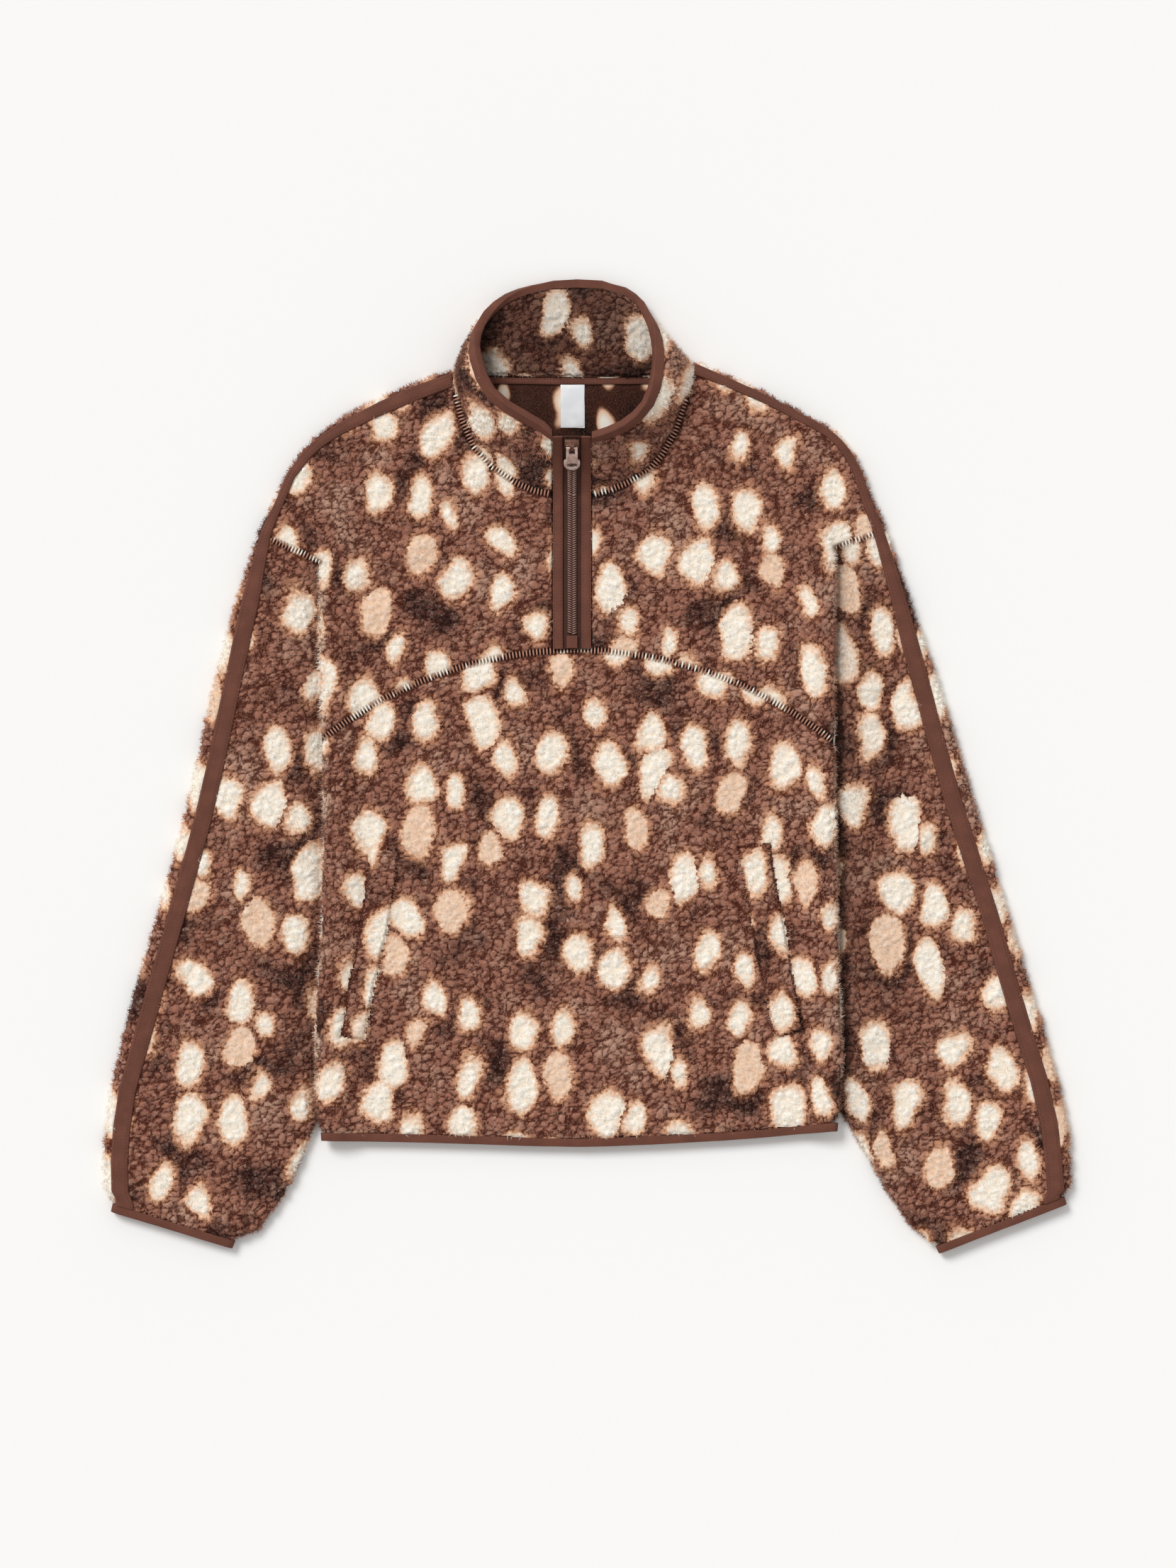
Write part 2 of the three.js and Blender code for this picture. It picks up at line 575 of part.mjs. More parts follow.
function yoke(side) {
  const sign = OUT[side];
  const zipEdge = ZIP_X + sign * ZIP_HALF;
  const neck = NECK[side];
  const crease = edgeX(side, BODY_LEVEL);
  const heads = neck.map((row, k) => {
    const next = neck[Math.min(k + 1, neck.length - 1)];
    const before = neck[Math.max(0, k - 1)];
    const length = Math.hypot(next.x - before.x, next.y - before.y);
    const square = [sign * (next.y - before.y) / length, -sign * (next.x - before.x) / length];
    const inward = k === 0 ? [0, -1] : square;
    const x = k === 0 ? zipEdge : row.x;
    return SEAM_STEPS.map((step) => [x + inward[0] * step, row.y + inward[1] * step]);
  });
  for (const s of STOPS.slice(0, CREASE_STOP + 1)) {
    const half = tapeHalf(tapePoint(side, s).out);
    heads.push([half + TAPE_LIP, half, NEAR / 2].map((step) => {
      const [x, y] = stepIn(side, s, step);
      return s === 0 ? [x + sign * NECK_SHIFT.front, y] : [x, y];
    }));
  }
  const insets = [...SIDE_STEPS].reverse();
  const plain = heads.length - insets.length;
  const level = ARM_SEAM[side];
  const columns = heads.map((head, k) => {
    const inset = k < plain ? null : insets[k - plain];
    const share = (k / plain) ** SPREAD;
    const at = (edge) => (
      inset === null ? mix(zipEdge, edge - sign * insets[0], share) : edge - sign * inset
    );
    const across = (y) => at(edgeX(side, y));
    const footX = at(crease);
    const foot = archY(footX);
    const points = [...SEAM_STEPS].reverse().map((rise) => [footX, foot + rise]);
    const start = foot + SEAM_REACH;
    const top = head[0];
    const low = Math.min(level, mix(start, top[1], LOW_SHARE));
    const lean = (y) => smooth((y - start) / (top[1] - start)) * (inset === null ? 1 : 0);
    const place = (y) => [mix(across(y), top[0], lean(y)), y];
    for (const rung of YOKE_RUNGS) points.push(place(mix(start, low, rung)));
    const scale = Math.min(1, (top[1] - low) / (CREASE_RISES.at(-1) + CREASE_ROOM));
    for (const rise of CREASE_RISES) points.push(place(low + rise * scale));
    const last = points.at(-1);
    for (const rung of CREASE_SHARES) points.push(between(last, top, rung));
    return [...points, ...head];
  });
  const body = columns.map((points) => points.map(yokePair));
  const split = columns[0].length - CREASE_RISES.length - CREASE_SHARES.length - SEAM_STEPS.length;
  const creaseColumn = columns.at(-1).slice(split);
  const stops = [...STOPS].reverse().slice(0, creaseColumn.length);
  const shoulder = creaseColumn.map((corner, k) => {
    const half = tapeHalf(tapePoint(side, stops[k]).out);
    const fromTop = creaseColumn.length - 1 - k;
    const steps = [half + TAPE_LIP, half, NEAR / 2];
    const cap = fromTop < steps.length ? steps.at(-1 - fromTop) : Infinity;
    const shift = k === 0 ? NEAR / 2 : 0;
    const ends = steps.map((step) => stepIn(side, stops[k], Math.min(step, cap), shift));
    const middle = DROP_SHARES.map((share) => between(corner, ends[0], share));
    return [body.at(-1)[split + k], ...[...middle, ...ends].map(yokePair)];
  });
  addWall(`front_yoke_${side}`, [body, shoulder], FLEECE);
}

// Section of the back cloth wrapped round the outer edge up to the middle of the tape.
// eo and zo are the outer skin's distance in and height, ei and zi the inner skin's.
const WRAP = { under: 0.6, turn: 1.6, lip: 1.3, centre: 0.4, steps: 5 };

function wrapSection(out, backWall, full, shut) {
  const half = tapeHalf(out);
  const face = Math.min(WALL, out - NEAR / 2);
  const lip = WALL + WRAP.lip;
  const start = out - half;
  const deepest = out - NEAR / 2;
  const under = Math.max(CURL, out * WRAP.under);
  const rolled = (inset) => rollHeight(inset, full);
  const rows = table('eo zo ei zi', [
    [under, 0, under, backWall],
    [WRAP.turn, EDGE_HEIGHT * roundOff(WRAP.turn, CURL), face, backWall + 0.2],
    [0, EDGE_HEIGHT, face, WALL + 0.8],
    [start * 0.45, rolled(start * 0.45), face, lip - 0.1],
    [start - 0.25, rolled(start - 0.25), Math.max(face, start - 0.25), lip],
    [start + 0.1, rolled(start) - TAPE_SINK, Math.max(face, start + 0.1), lip + 0.05],
    [deepest, rolled(deepest) - TAPE_SINK, deepest, lip + 0.1],
  ]);
  const middle = (END_MID.front + END_MID.back) / 2;
  const reach = (END_MID.front - END_MID.back + END_WALL) / 2;
  const depth = reach - END_WALL;
  const centre = END_RADIUS + WRAP.centre;
  return rows.map(({ eo, zo, ei, zi }, k) => {
    const angle = (clamp(k, 0, WRAP.steps) / WRAP.steps - 0.5) * Math.PI;
    const flat = k === 0 ? eo : centre;
    const tail = k === rows.length - 1 ? deepest : flat;
    return {
      eo: mix(eo, tail - reach * Math.cos(angle), shut),
      zo: mix(zo, middle + reach * Math.sin(angle), shut),
      ei: mix(ei, tail - depth * Math.cos(angle), shut),
      zi: mix(zi, middle + depth * Math.sin(angle), shut),
    };
  });
}

function wrapPairs(tape, section, shift = 0) {
  const place = (inset, z) => {
    const reach = tape.out - inset;
    return [tape.x + tape.nx * reach, tape.y + tape.ny * reach + shift, z];
  };
  return section.map(({ eo, zo, ei, zi }) => ({ o: place(eo, zo), i: place(ei, zi) }));
}

const BACK_ROWS = [-210, -110, -10, 80, 150];
const BACK_RUNGS = [0.35, 0.7];
const DROP_HEIGHT = 93;      // height of the columns beside the dropped shoulder
const NECK_CLEAR = 0.8;      // from the back's neckline to the collar's seam

function backBody() {
  const lower = HEM_HEIGHTS.map(hemRow);
  for (const y of BACK_ROWS) lower.push(bodyColumns(y).map((x) => [x, y]));
  const left = edgeX('left', ARM_SEAM.left);
  const right = edgeX('right', ARM_SEAM.right);
  const level = (x) => mix(ARM_SEAM.left, ARM_SEAM.right, clamp((x - left) / (right - left), 0, 1));
  lower.push(bodyColumns(ARM_SEAM.left).map((x) => [x, level(x) + NEAR / 2]));
  const seamFeet = lower.at(-1);

  // Feet and heads of the columns above the armhole's level, round the outline from left to right
  const wraps = {};
  for (const side of SIDES) {
    wraps[side] = STOPS.map((s) => {
      const tape = tapePoint(side, s);
      const cloth = bodyCloth(tape.x, tape.y);
      const section = wrapSection(tape.out, cloth.backTop - cloth.backBottom, cloth.frontTop, 0);
      const pairs = wrapPairs(tape, section, s === ARMHOLE_ROW ? NEAR / 2 : 0);
      const shift = s === 0 ? OUT[side] * NECK_SHIFT.back : 0;
      return pairs.map(({ o, i }) => ({ o: [o[0] + shift, o[1], o[2]], i: [i[0] + shift, i[1], i[2]] }));
    });
  }
  const inLeft = wraps.left.map((pairs) => pairs[0]).reverse();
  const inRight = wraps.right.map((pairs) => pairs[0]);
  const neckline = NECKLINE_ROWS.map((k) => [COLLAR[k].neckX, COLLAR[k].neckY - NECK_CLEAR]);
  const count = STOPS.length;
  const dropped = count - 1 - CREASE_STOP;
  const heads = [...inLeft, ...neckline.map((point) => backPair(...point)), ...inRight];
  const headPoint = (k) => [heads[k].o[0], heads[k].o[1]];
  const feet = heads.map((_, k) => {
    const other = heads.length - 1 - k;
    if (k < dropped) return between(headPoint(0), seamFeet[0], k / dropped);
    if (other < dropped) return between(headPoint(heads.length - 1), seamFeet.at(-1), other / dropped);
    return seamFeet[k - dropped];
  });
  const rises = CREASE_RISES.map((rise) => rise - NEAR / 2);
  const upper = heads.map((head, k) => {
    const top = headPoint(k);
    const foot = feet[k];
    const inside = k >= dropped && heads.length - 1 - k >= dropped;
    const points = rises.map((rise) => (
      inside ? [foot[0], foot[1] + rise] : between(foot, top, rise / DROP_HEIGHT)
    ));
    const last = points.at(-1);
    for (const rung of BACK_RUNGS) points.push(between(last, top, rung));
    if (k === 0 || k === heads.length - 1) return [...points.map(() => head), head];
    return [...points.map(([x, y]) => backPair(x, y)), head];
  });
  const grids = [lower.map((row) => row.map(([x, y]) => backPair(x, y))), upper, wraps.left, wraps.right];
  addWall('back_body', grids, FLEECE);
}

// Plan frame of a sleeve section. Near the cuff the section turns square to the cuff's line.
function sleeveFrame(side, s) {
  const tape = tapePoint(side, ARMHOLE_ROW + s);
  const row = along(SLEEVE[side], s);
  const length = Math.hypot(tape.x - row.foldX, tape.y - row.foldY);
  const turn = smooth((s - CUFF_SECTION + 2) / 2);
  const nx = mix(tape.nx, (tape.x - row.foldX) / length, turn);
  const ny = mix(tape.ny, (tape.y - row.foldY) / length, turn);
  const size = Math.hypot(nx, ny);
  return { ...tape, nx: nx / size, ny: ny / size, foldX: row.foldX, foldY: row.foldY };
}

const CUFF_SECTION = SLEEVE.left.length - 1;

// The cuff's line and the direction from it up the sleeve
function cuffFrame(side) {
  const end = sleeveFrame(side, CUFF_SECTION);
  const turn = OUT[side];
  return { ...end, upX: -turn * end.ny, upY: turn * end.nx };
}

// Sleeve frames from the armhole to the cuff, with the distance of each from the cuff's line
const CUFF_ENDS = [9.6, 7.2, END_CLEAR];
const FAR = 100;             // any distance at which the cuff has no effect

function sleeveStations(side) {
  const cuff = cuffFrame(side);
  const stations = SLEEVE[side].slice(0, -1).map((_, s) => {
    const frame = sleeveFrame(side, s);
    return { ...frame, end: FAR, shift: s === 0 ? -NEAR / 2 : 0 };
  });
  for (const end of CUFF_ENDS) {
    const shut = 1 - opened(end);
    const draw = DRAW_IN * shut;
    stations.push({
      ...cuff,
      x: cuff.x + cuff.upX * end,
      y: cuff.y + cuff.upY * end,
      foldX: cuff.foldX + cuff.upX * end + cuff.nx * draw,
      foldY: cuff.foldY + cuff.upY * end + cuff.ny * draw,
      end,
      shift: 0,
      shut,
    });
  }
  return stations;
}

const FOLD_STEPS = [26, 14, 7.5, 3.8, 1.4, 0];
const SLEEVE_SHARES = [0.33, 0.67];
const THIN_SLEEVE = 0.8;
const TAPE_MARGIN = 0.6;     // the tape is this much narrower than its bed at each side

// Plan points across a sleeve from a start point to the fold, closer together near the fold
function towardsFold(start, station) {
  const length = Math.hypot(station.foldX - start[0], station.foldY - start[1]);
  const points = [];
  const last = length - FOLD_STEPS[0];
  const fold = [station.foldX, station.foldY + station.shift];
  const at = (distance) => between(start, fold, distance / length);
  for (const share of SLEEVE_SHARES) points.push(at(last * share));
  for (const step of FOLD_STEPS) points.push(at(length - step));
  return points;
}

function sleeve(side) {
  const stations = sleeveStations(side);
  const cloth = ([x, y], station) => sleeveCloth(side, x, y, station.end);
  const frontRows = stations.map((station) => {
    const half = tapeHalf(station.out);
    const steps = [NEAR / 2, half, half + TAPE_LIP];
    const heads = steps.map((step) => [
      station.x - station.nx * step, station.y - station.ny * step + station.shift,
    ]);
    const points = [...heads, ...towardsFold(heads[2], station)];
    return points.map((point, k) => {
      const here = cloth(point, station);
      const inset = station.out + steps[Math.min(k, 2)];
      const sunk = k < 2 ? TAPE_SINK : 0;
      const rolled = k < 3 ? rollHeight(inset, here.frontTop) - sunk : here.frontTop;
      const top = mix(rolled, here.frontTop, station.shut ?? 0);
      return { o: [...point, top], i: [...point, Math.min(here.frontBottom, top - THIN_SLEEVE)] };
    });
  });
  addWall(`sleeve_front_${side}`, [frontRows], FLEECE);

  const backRows = stations.map((station) => {
    const here = cloth([station.x, station.y], station);
    const section = wrapSection(station.out, here.backTop, here.frontTop, station.shut ?? 0);
    const wrap = wrapPairs(station, section, station.shift);
    const start = [wrap[0].o[0], wrap[0].o[1]];
    const flat = towardsFold(start, station).map((point) => {
      const at = cloth(point, station);
      return { o: [...point, at.backBottom], i: [...point, at.backTop] };
    });
    return [...wrap.reverse(), ...flat];
  });
  addWall(`sleeve_back_${side}`, [backRows], FLEECE);

  const shoulderStops = [0.04, ...STOPS.slice(1, -1)].map((s) => {
    const tape = tapePoint(side, s);
    return { ...tape, full: (x, y) => bodyCloth(x, y).frontTop, shift: 0 };
  });
  const sleeveStops = stations.slice(0, -1).map((station) => (
    { ...station, full: (x, y) => cloth([x, y], station).frontTop }
  ));
  const tapeRows = [...shoulderStops, ...sleeveStops].map((stop) => {
    const half = tapeHalf(stop.out) - TAPE_MARGIN;
    return [-1, 0, 1].map((share) => {
      const step = share * half;
      const x = stop.x - stop.nx * step;
      const y = stop.y - stop.ny * step + stop.shift;
      const full = step > 0 ? stop.full(x, y) : stop.full(stop.x, stop.y);
      const rolled = mix(rollHeight(stop.out + step, full), full + TAPE_SINK, stop.shut ?? 0);
      const low = rolled - TAPE_SINK + NEAR;
      return { o: [x, y, low + TAPE_THICK], i: [x, y, low] };
    });
  });
  addWall(`shoulder_tape_${side}`, [tapeRows], TRIM);
}

// A binding folded over a flat open end: a U section carried round the end's loop
const END_STEP = 0.4;
const END_INNER = 0.2;
const TURNS = [-60, -30, 0, 30, 60].map((degrees) => degrees * Math.PI / 180);
const U_SECTION = table('reach end inner innerEnd', [
  [END_RADIUS, BIND_WIDTH, END_RADIUS - BIND_THICK, BIND_WIDTH],
  [END_RADIUS - END_STEP, 0, END_RADIUS - BIND_THICK, BIND_THICK],
  [0.5, 0, END_INNER + BIND_THICK, BIND_THICK],
  [END_INNER, BIND_WIDTH, END_INNER + BIND_THICK, BIND_WIDTH],
]);

// line(u) gives a plan point on the end's line with its direction and the direction into the cloth
function endBinding(name, line, us, lift) {
  const middle = (END_MID.front + END_MID.back) / 2;
  const stations = us.map((u) => ({ u, across: 0, up: -1 }));
  for (const turn of TURNS) stations.push({ u: us.at(-1), across: Math.cos(turn), up: Math.sin(turn) });
  for (const u of [...us].reverse()) stations.push({ u, across: 0, up: 1 });
  for (const turn of [...TURNS].reverse()) {
    stations.push({ u: us[0], across: -Math.cos(turn), up: Math.sin(turn) });
  }
  const rows = stations.map(({ u, across, up }) => {
    const at = line(u);
    const place = (reach, end) => [
      at.x + at.dx * reach * across + at.inX * end, at.y + at.dy * reach * across + at.inY * end,
      middle + lift(at.x, at.y) + up * reach,
    ];
    return U_SECTION.map((row) => ({ o: place(row.reach, row.end), i: place(row.inner, row.innerEnd) }));
  });
  addWall(name, [rows], TRIM, true);
}

const HEM_RIGHT_END = -282;  // the hem ends higher at the right

function hemBinding() {
  const left = edgeX('left', EDGE_START) + END_RADIUS;
  const right = edgeX('right', HEM_RIGHT_END) - END_RADIUS;
  const columns = hemRow(0).map(([x]) => x).filter((x) => x > left + 0.5 && x < right - 0.5);
  const line = (x) => ({ x, y: hemY(x), dx: 1, dy: 0, inX: 0, inY: 1 });
  endBinding('hem_binding', line, [left, ...columns, right], (x, y) => bodyCloth(x, y + 3).lift);
}

function cuffBinding(side) {
  const cuff = cuffFrame(side);
  const length = Math.hypot(cuff.x - cuff.foldX, cuff.y - cuff.foldY) + cuff.out;
  const line = (u) => ({
    x: cuff.foldX + cuff.nx * u, y: cuff.foldY + cuff.ny * u,
    dx: cuff.nx, dy: cuff.ny, inX: cuff.upX, inY: cuff.upY,
  });
  const shares = [0, 0.2, 0.4, 0.6, 0.8, 1];
  const stops = shares.map((share) => mix(END_RADIUS, length - END_RADIUS - END_STEP, share));
  endBinding(`cuff_binding_${side}`, line, stops, () => 0);
}

// A point on the collar: u counts its sections, v runs from the neck seam to the bound edge
function collarPoint(u, v) {
  const row = along(COLLAR, u);
  const blend = (a, b, c) => a * (1 - v) ** 2 + 2 * b * v * (1 - v) + c * v ** 2;
  return new THREE.Vector3(
    blend(row.neckX, row.midX, row.topX),
    blend(row.neckY, row.midY, row.topY),
    blend(row.neckZ, row.midZ, row.topZ),
  );
}

function collarNormal(u, v) {
  const last = COLLAR.length - 1;
  const du = collarPoint(Math.min(u + 0.2, last), v).sub(collarPoint(Math.max(u - 0.2, 0), v));
  const fromZip = smooth(Math.min(u, last - u) / 1.6);
  du.y *= fromZip;
  du.z *= fromZip;
  const dv = collarPoint(u, Math.min(v + 0.02, 1)).sub(collarPoint(u, Math.max(v - 0.02, 0)));
  return dv.cross(du).normalize();
}

function collarThickness(u, v) {
  const seam = mix(COLLAR_THICK, COLLAR_SEAM_THICK, smooth(along(COLLAR, u).neckZ / 9));
  const middle = mix(seam, COLLAR_THICK, smooth(v / 0.3));
  return mix(middle, COLLAR_TOP_THICK, smooth((v - 0.55) / 0.35));
}

function collarAt(u, v, depth) {
  return collarPoint(u, v).addScaledVector(collarNormal(u, v), -depth).toArray();
}

function collarLength(u) {
  let length = 0;
  for (let k = 0; k < 20; k++) length += collarPoint(u, k / 20).distanceTo(collarPoint(u, (k + 1) / 20));
  return length;
}

// Every section of the table, and halfway stops round the two bends at the shoulders
const COLLAR_BENDS = [[6, 10], [14, 19]];
const COLLAR_STATIONS = [];
for (let u = 0; u < COLLAR.length; u++) {
  COLLAR_STATIONS.push(u);
  if (COLLAR_BENDS.some(([low, high]) => u >= low && u < high)) COLLAR_STATIONS.push(u + 0.5);
}

const COLLAR_ROWS = [0, 0.27, 0.55, 0.8];   // rows up the fleece, as shares of its height
const COLLAR_CORNER = 0.7;   // the binding's edge is rounded by this much

function collar() {
  const layers = { collar_outer: [], collar_inner: [], collar_binding: [] };
  for (const u of COLLAR_STATIONS) {
    const length = collarLength(u);
    const fromTop = (distance) => 1 - distance / length;
    const seam = fromTop(COLLAR_BIND + 0.7);
    const half = fromTop(COLLAR_BIND / 2);
    const stops = [...COLLAR_ROWS.map((share) => ({ v: share * seam, sink: 0 })), { v: seam, sink: 0 }];
    const covered = [fromTop(COLLAR_BIND), half, fromTop(BIND_THICK + 4 * NEAR)];
    for (const v of covered) stops.push({ v, sink: COLLAR_INSET });
    const depthAt = (v) => collarThickness(u, v);
    layers.collar_outer.push(stops.map(({ v, sink }) => (
      { o: collarAt(u, v, sink), i: collarAt(u, v, (depthAt(v) - NEAR) / 2) }
    )));
    layers.collar_inner.push(stops.map(({ v, sink }) => (
      { o: collarAt(u, v, depthAt(v) - sink), i: collarAt(u, v, (depthAt(v) + NEAR) / 2) }
    )));
    const leg = fromTop(COLLAR_BIND - 0.5);
    const rim = fromTop(BIND_THICK);
    const over = fromTop(0.4);
    const thick = depthAt(1);
    const cut = BIND_THICK;
    layers.collar_binding.push([
      { o: collarAt(u, leg, 0), i: collarAt(u, leg, cut) },
      { o: collarAt(u, half, 0), i: collarAt(u, half, cut) },
      { o: collarAt(u, over, 0), i: collarAt(u, rim, cut) },
      { o: collarAt(u, 1, COLLAR_CORNER), i: collarAt(u, rim, cut + 0.1) },
      { o: collarAt(u, 1, thick - COLLAR_CORNER), i: collarAt(u, rim, thick - cut - 0.1) },
      { o: collarAt(u, over, thick), i: collarAt(u, rim, thick - cut) },
      { o: collarAt(u, half, depthAt(half)), i: collarAt(u, half, depthAt(half) - cut) },
      { o: collarAt(u, leg, depthAt(leg)), i: collarAt(u, leg, depthAt(leg) - cut) },
    ]);
  }
  addWall('collar_outer', [layers.collar_outer], FLEECE);
  addWall('collar_inner', [layers.collar_inner], FLEECE);
  addWall('collar_binding', [layers.collar_binding], TRIM);
}

// A flat strip that lies at a height above the table, its edges given from one end to the other
function flatStrip(name, rows, low, thick, color) {
  const pair = ([x, y]) => ({ o: [x, y, low + thick], i: [x, y, low] });
  addWall(name, [rows.map((row) => row.map(pair))], color);
}

const NECK_TAPE = { xs: [-94, -70, -45, -21, -8, 5, 30, 52, 74], low: 306.2, high: 311.2, thick: 0.9 };
const LABEL_STRIP = { xs: [-20.4, -14, -8, -1.7], ys: [272, 289, 305.9], thick: 0.5 };

function neckTrim() {
  const bow = (x) => 0.9 * ((x + 10) / 85) ** 2;
  const tapeRows = NECK_TAPE.xs.map((x) => [[x, NECK_TAPE.low + bow(x)], [x, NECK_TAPE.high + bow(x)]]);
  const labelRows = LABEL_STRIP.xs.map((x) => LABEL_STRIP.ys.map((y) => [x, y]));
  flatStrip('neck_tape', tapeRows, WALL + NEAR, NECK_TAPE.thick, TRIM);
  flatStrip('label', labelRows, WALL + NEAR, LABEL_STRIP.thick, LABEL);
}

// Pocket welts, raised from the lower front's surface
const WELT_RISE = 2.6;
const WELT_CLEAR = 0.5;
const WELT_EDGE = 0.45;      // a welt's height at its edges, as a share of its rise
const WELT_SHARES = [0, 0.12, 0.5, 0.88, 1];
const WELT_STEPS = 3;        // rows from one line of the table to the next

function pocket(side) {
  const rows = [];
  const lines = POCKETS[side];
  const steps = (lines.length - 1) * WELT_STEPS;
  for (let k = 0; k <= steps; k++) {
    const row = along(lines, k / WELT_STEPS);
    const end = k === 0 || k === steps ? WELT_EDGE : 1;
    rows.push(WELT_SHARES.map((share) => {
      const x = mix(row.innerX, row.outerX, share);
      const y = mix(row.innerY, row.outerY, share);
      const top = bodyCloth(x, y).frontTop + WELT_CLEAR;
      const crown = share === 0 || share === 1 ? WELT_EDGE : 1;
      return { o: [x, y, top + WELT_RISE * Math.min(crown, end)], i: [x, y, top] };
    }));
  }
  addWall(`pocket_welt_${side}`, [rows], FLEECE);
}

// The zip's path: up the yoke and then up the collar's front edges. Each stop has y, z, the surface's
// normal and its distance from the bottom.
const YOKE_STOPS = 10;
const COLLAR_STOPS = 12;
const ZIP_STOPS = zipPath();

function zipPath() {
  const points = [];
  const neckEnd = COLLAR[0].neckY;
  const surface = bodyCloth(ZIP_X, (ZIP_BOTTOM + neckEnd) / 2).frontTop;
  for (let k = 0; k < YOKE_STOPS; k++) {
    points.push({ y: mix(ZIP_BOTTOM, neckEnd, k / YOKE_STOPS), z: surface });
  }
  for (let k = 0; k <= COLLAR_STOPS; k++) {
    const left = collarPoint(0, k / COLLAR_STOPS);
    const right = collarPoint(COLLAR.length - 1, k / COLLAR_STOPS);
    points.push({ y: (left.y + right.y) / 2, z: (left.z + right.z) / 2 });
  }
  let length = 0;
  return points.map((point, k) => {
    const before = points[Math.max(0, k - 1)];
    const after = points[Math.min(points.length - 1, k + 1)];
    const size = Math.hypot(after.y - before.y, after.z - before.z);
    if (k > 0) length += Math.hypot(point.y - before.y, point.z - before.z);
    return { ...point, ny: -(after.z - before.z) / size, nz: (after.y - before.y) / size, length };
  });
}

const ZIP_LENGTH = ZIP_STOPS.at(-1).length;

// Place on the zip: x across, a distance up from its bottom, and a depth below its surface
function onZip(x, distance, depth) {
  let k = 0;
  while (k < ZIP_STOPS.length - 2 && ZIP_STOPS[k + 1].length < distance) k++;
  const a = ZIP_STOPS[k];
  const b = ZIP_STOPS[k + 1];
  const u = (distance - a.length) / (b.length - a.length);
  const ny = mix(a.ny, b.ny, u);
  const nz = mix(a.nz, b.nz, u);
  const size = Math.hypot(ny, nz);
  return [x, mix(a.y, b.y, u) - depth * ny / size, mix(a.z, b.z, u) - depth * nz / size];
}

// A strip along the zip from x0 to x1, its top and underside at depths below the zip's surface
function zipStrip(name, x0, x1, { top, bottom, start, finish, color, roughness }) {
  const within = (d) => d > start + 0.5 && d < finish - 0.5;
  const stops = [start, ...ZIP_STOPS.map((stop) => stop.length).filter(within), finish];
  const wall = new Wall();
  wall.grid(stops.map((d) => [x0, x1].map((x) => ({ o: onZip(x, d, top), i: onZip(x, d, bottom) }))));
  addMesh(name, wall.geometry(), color, roughness);
}

const FACING_WIDTH = 7.8;
const ZIP_TAPE_HALF = 13;
const CHAIN_HALF = 3.3;
const STOP_HALF = 4.2;
const SLIDER = { length: 9, half: 5.6, top: 2.2, sink: 1.6 };
const BRIDGE = { start: 1.2, finish: 8, half: 1.65, top: 5.5, wall: 1.1 };
const TAB = { thick: 1.4, hinge: 2.2, reach: 21, tipHeight: 1.6 };
const SLIDER_START = ZIP_LENGTH - 13.5;

const STRIPS = {
  facing: { top: 0.3, bottom: 1.7, start: 0, finish: ZIP_LENGTH - 1, color: TRIM, roughness: 0.95 },
  tape: { top: 2, bottom: 2.9, start: 0, finish: ZIP_LENGTH - 2.4, color: ZIP_CLOTH, roughness: 0.9 },
  chain: { top: -0.3, bottom: 1.7, start: 10.9, finish: SLIDER_START - 0.4, color: COIL, roughness: 0.5 },
  stop: { top: -0.6, bottom: 1.7, start: 0.6, finish: 10.5, color: COIL, roughness: 0.5 },
};

function zip() {
  const outer = ZIP_HALF - NEAR;
  const inner = outer - FACING_WIDTH;
  zipStrip('zip_facing_left', ZIP_X - outer, ZIP_X - inner, STRIPS.facing);
  zipStrip('zip_facing_right', ZIP_X + inner, ZIP_X + outer, STRIPS.facing);
  zipStrip('zip_tape', ZIP_X - ZIP_TAPE_HALF, ZIP_X + ZIP_TAPE_HALF, STRIPS.tape);
  zipStrip('zip_chain', ZIP_X - CHAIN_HALF, ZIP_X + CHAIN_HALF, STRIPS.chain);
  zipStrip('zip_stop', ZIP_X - STOP_HALF, ZIP_X + STOP_HALF, STRIPS.stop);
}

// A closed geometry as a solid for joining
function solid(geometry) {
  const bare = geometry.clone();
  bare.deleteAttribute('normal');
  bare.deleteAttribute('uv');
  const merged = mergeVertices(bare, 1e-4);
  const vertProperties = new Float32Array(merged.attributes.position.array);
  const triVerts = new Uint32Array(merged.index.array);
  return new wasm.Manifold(new wasm.Mesh({ numProp: 3, vertProperties, triVerts }));
}

function fromSolid(body) {
  const mesh = body.getMesh();
  const geometry = new THREE.BufferGeometry();
  geometry.setAttribute('position', new THREE.BufferAttribute(mesh.vertProperties, 3));
  geometry.setIndex(new THREE.BufferAttribute(mesh.triVerts, 1));
  return geometry;
}

function plate(shape, thick) {
  const settings = { depth: thick, bevelEnabled: false, curveSegments: 10 };
  const geometry = new THREE.ExtrudeGeometry(shape, settings);
  return geometry.translate(0, 0, -thick / 2);
}

function outline(points) {
  return new THREE.Shape(points.map(([x, y]) => new THREE.Vector2(x, y)));
}

// The slider's frame: origin on the zip, first axis up the zip, second out of its surface, third across
function sliderFrame() {
  const from = onZip(ZIP_X, SLIDER_START, 0);
  const to = onZip(ZIP_X, SLIDER_START + SLIDER.length, 0);
  const up = new THREE.Vector3(...to).sub(new THREE.Vector3(...from)).normalize();
  const across = new THREE.Vector3(1, 0, 0);
  const out = across.clone().cross(up);
  return new THREE.Matrix4().makeBasis(up, out, across).setPosition(...from);
}

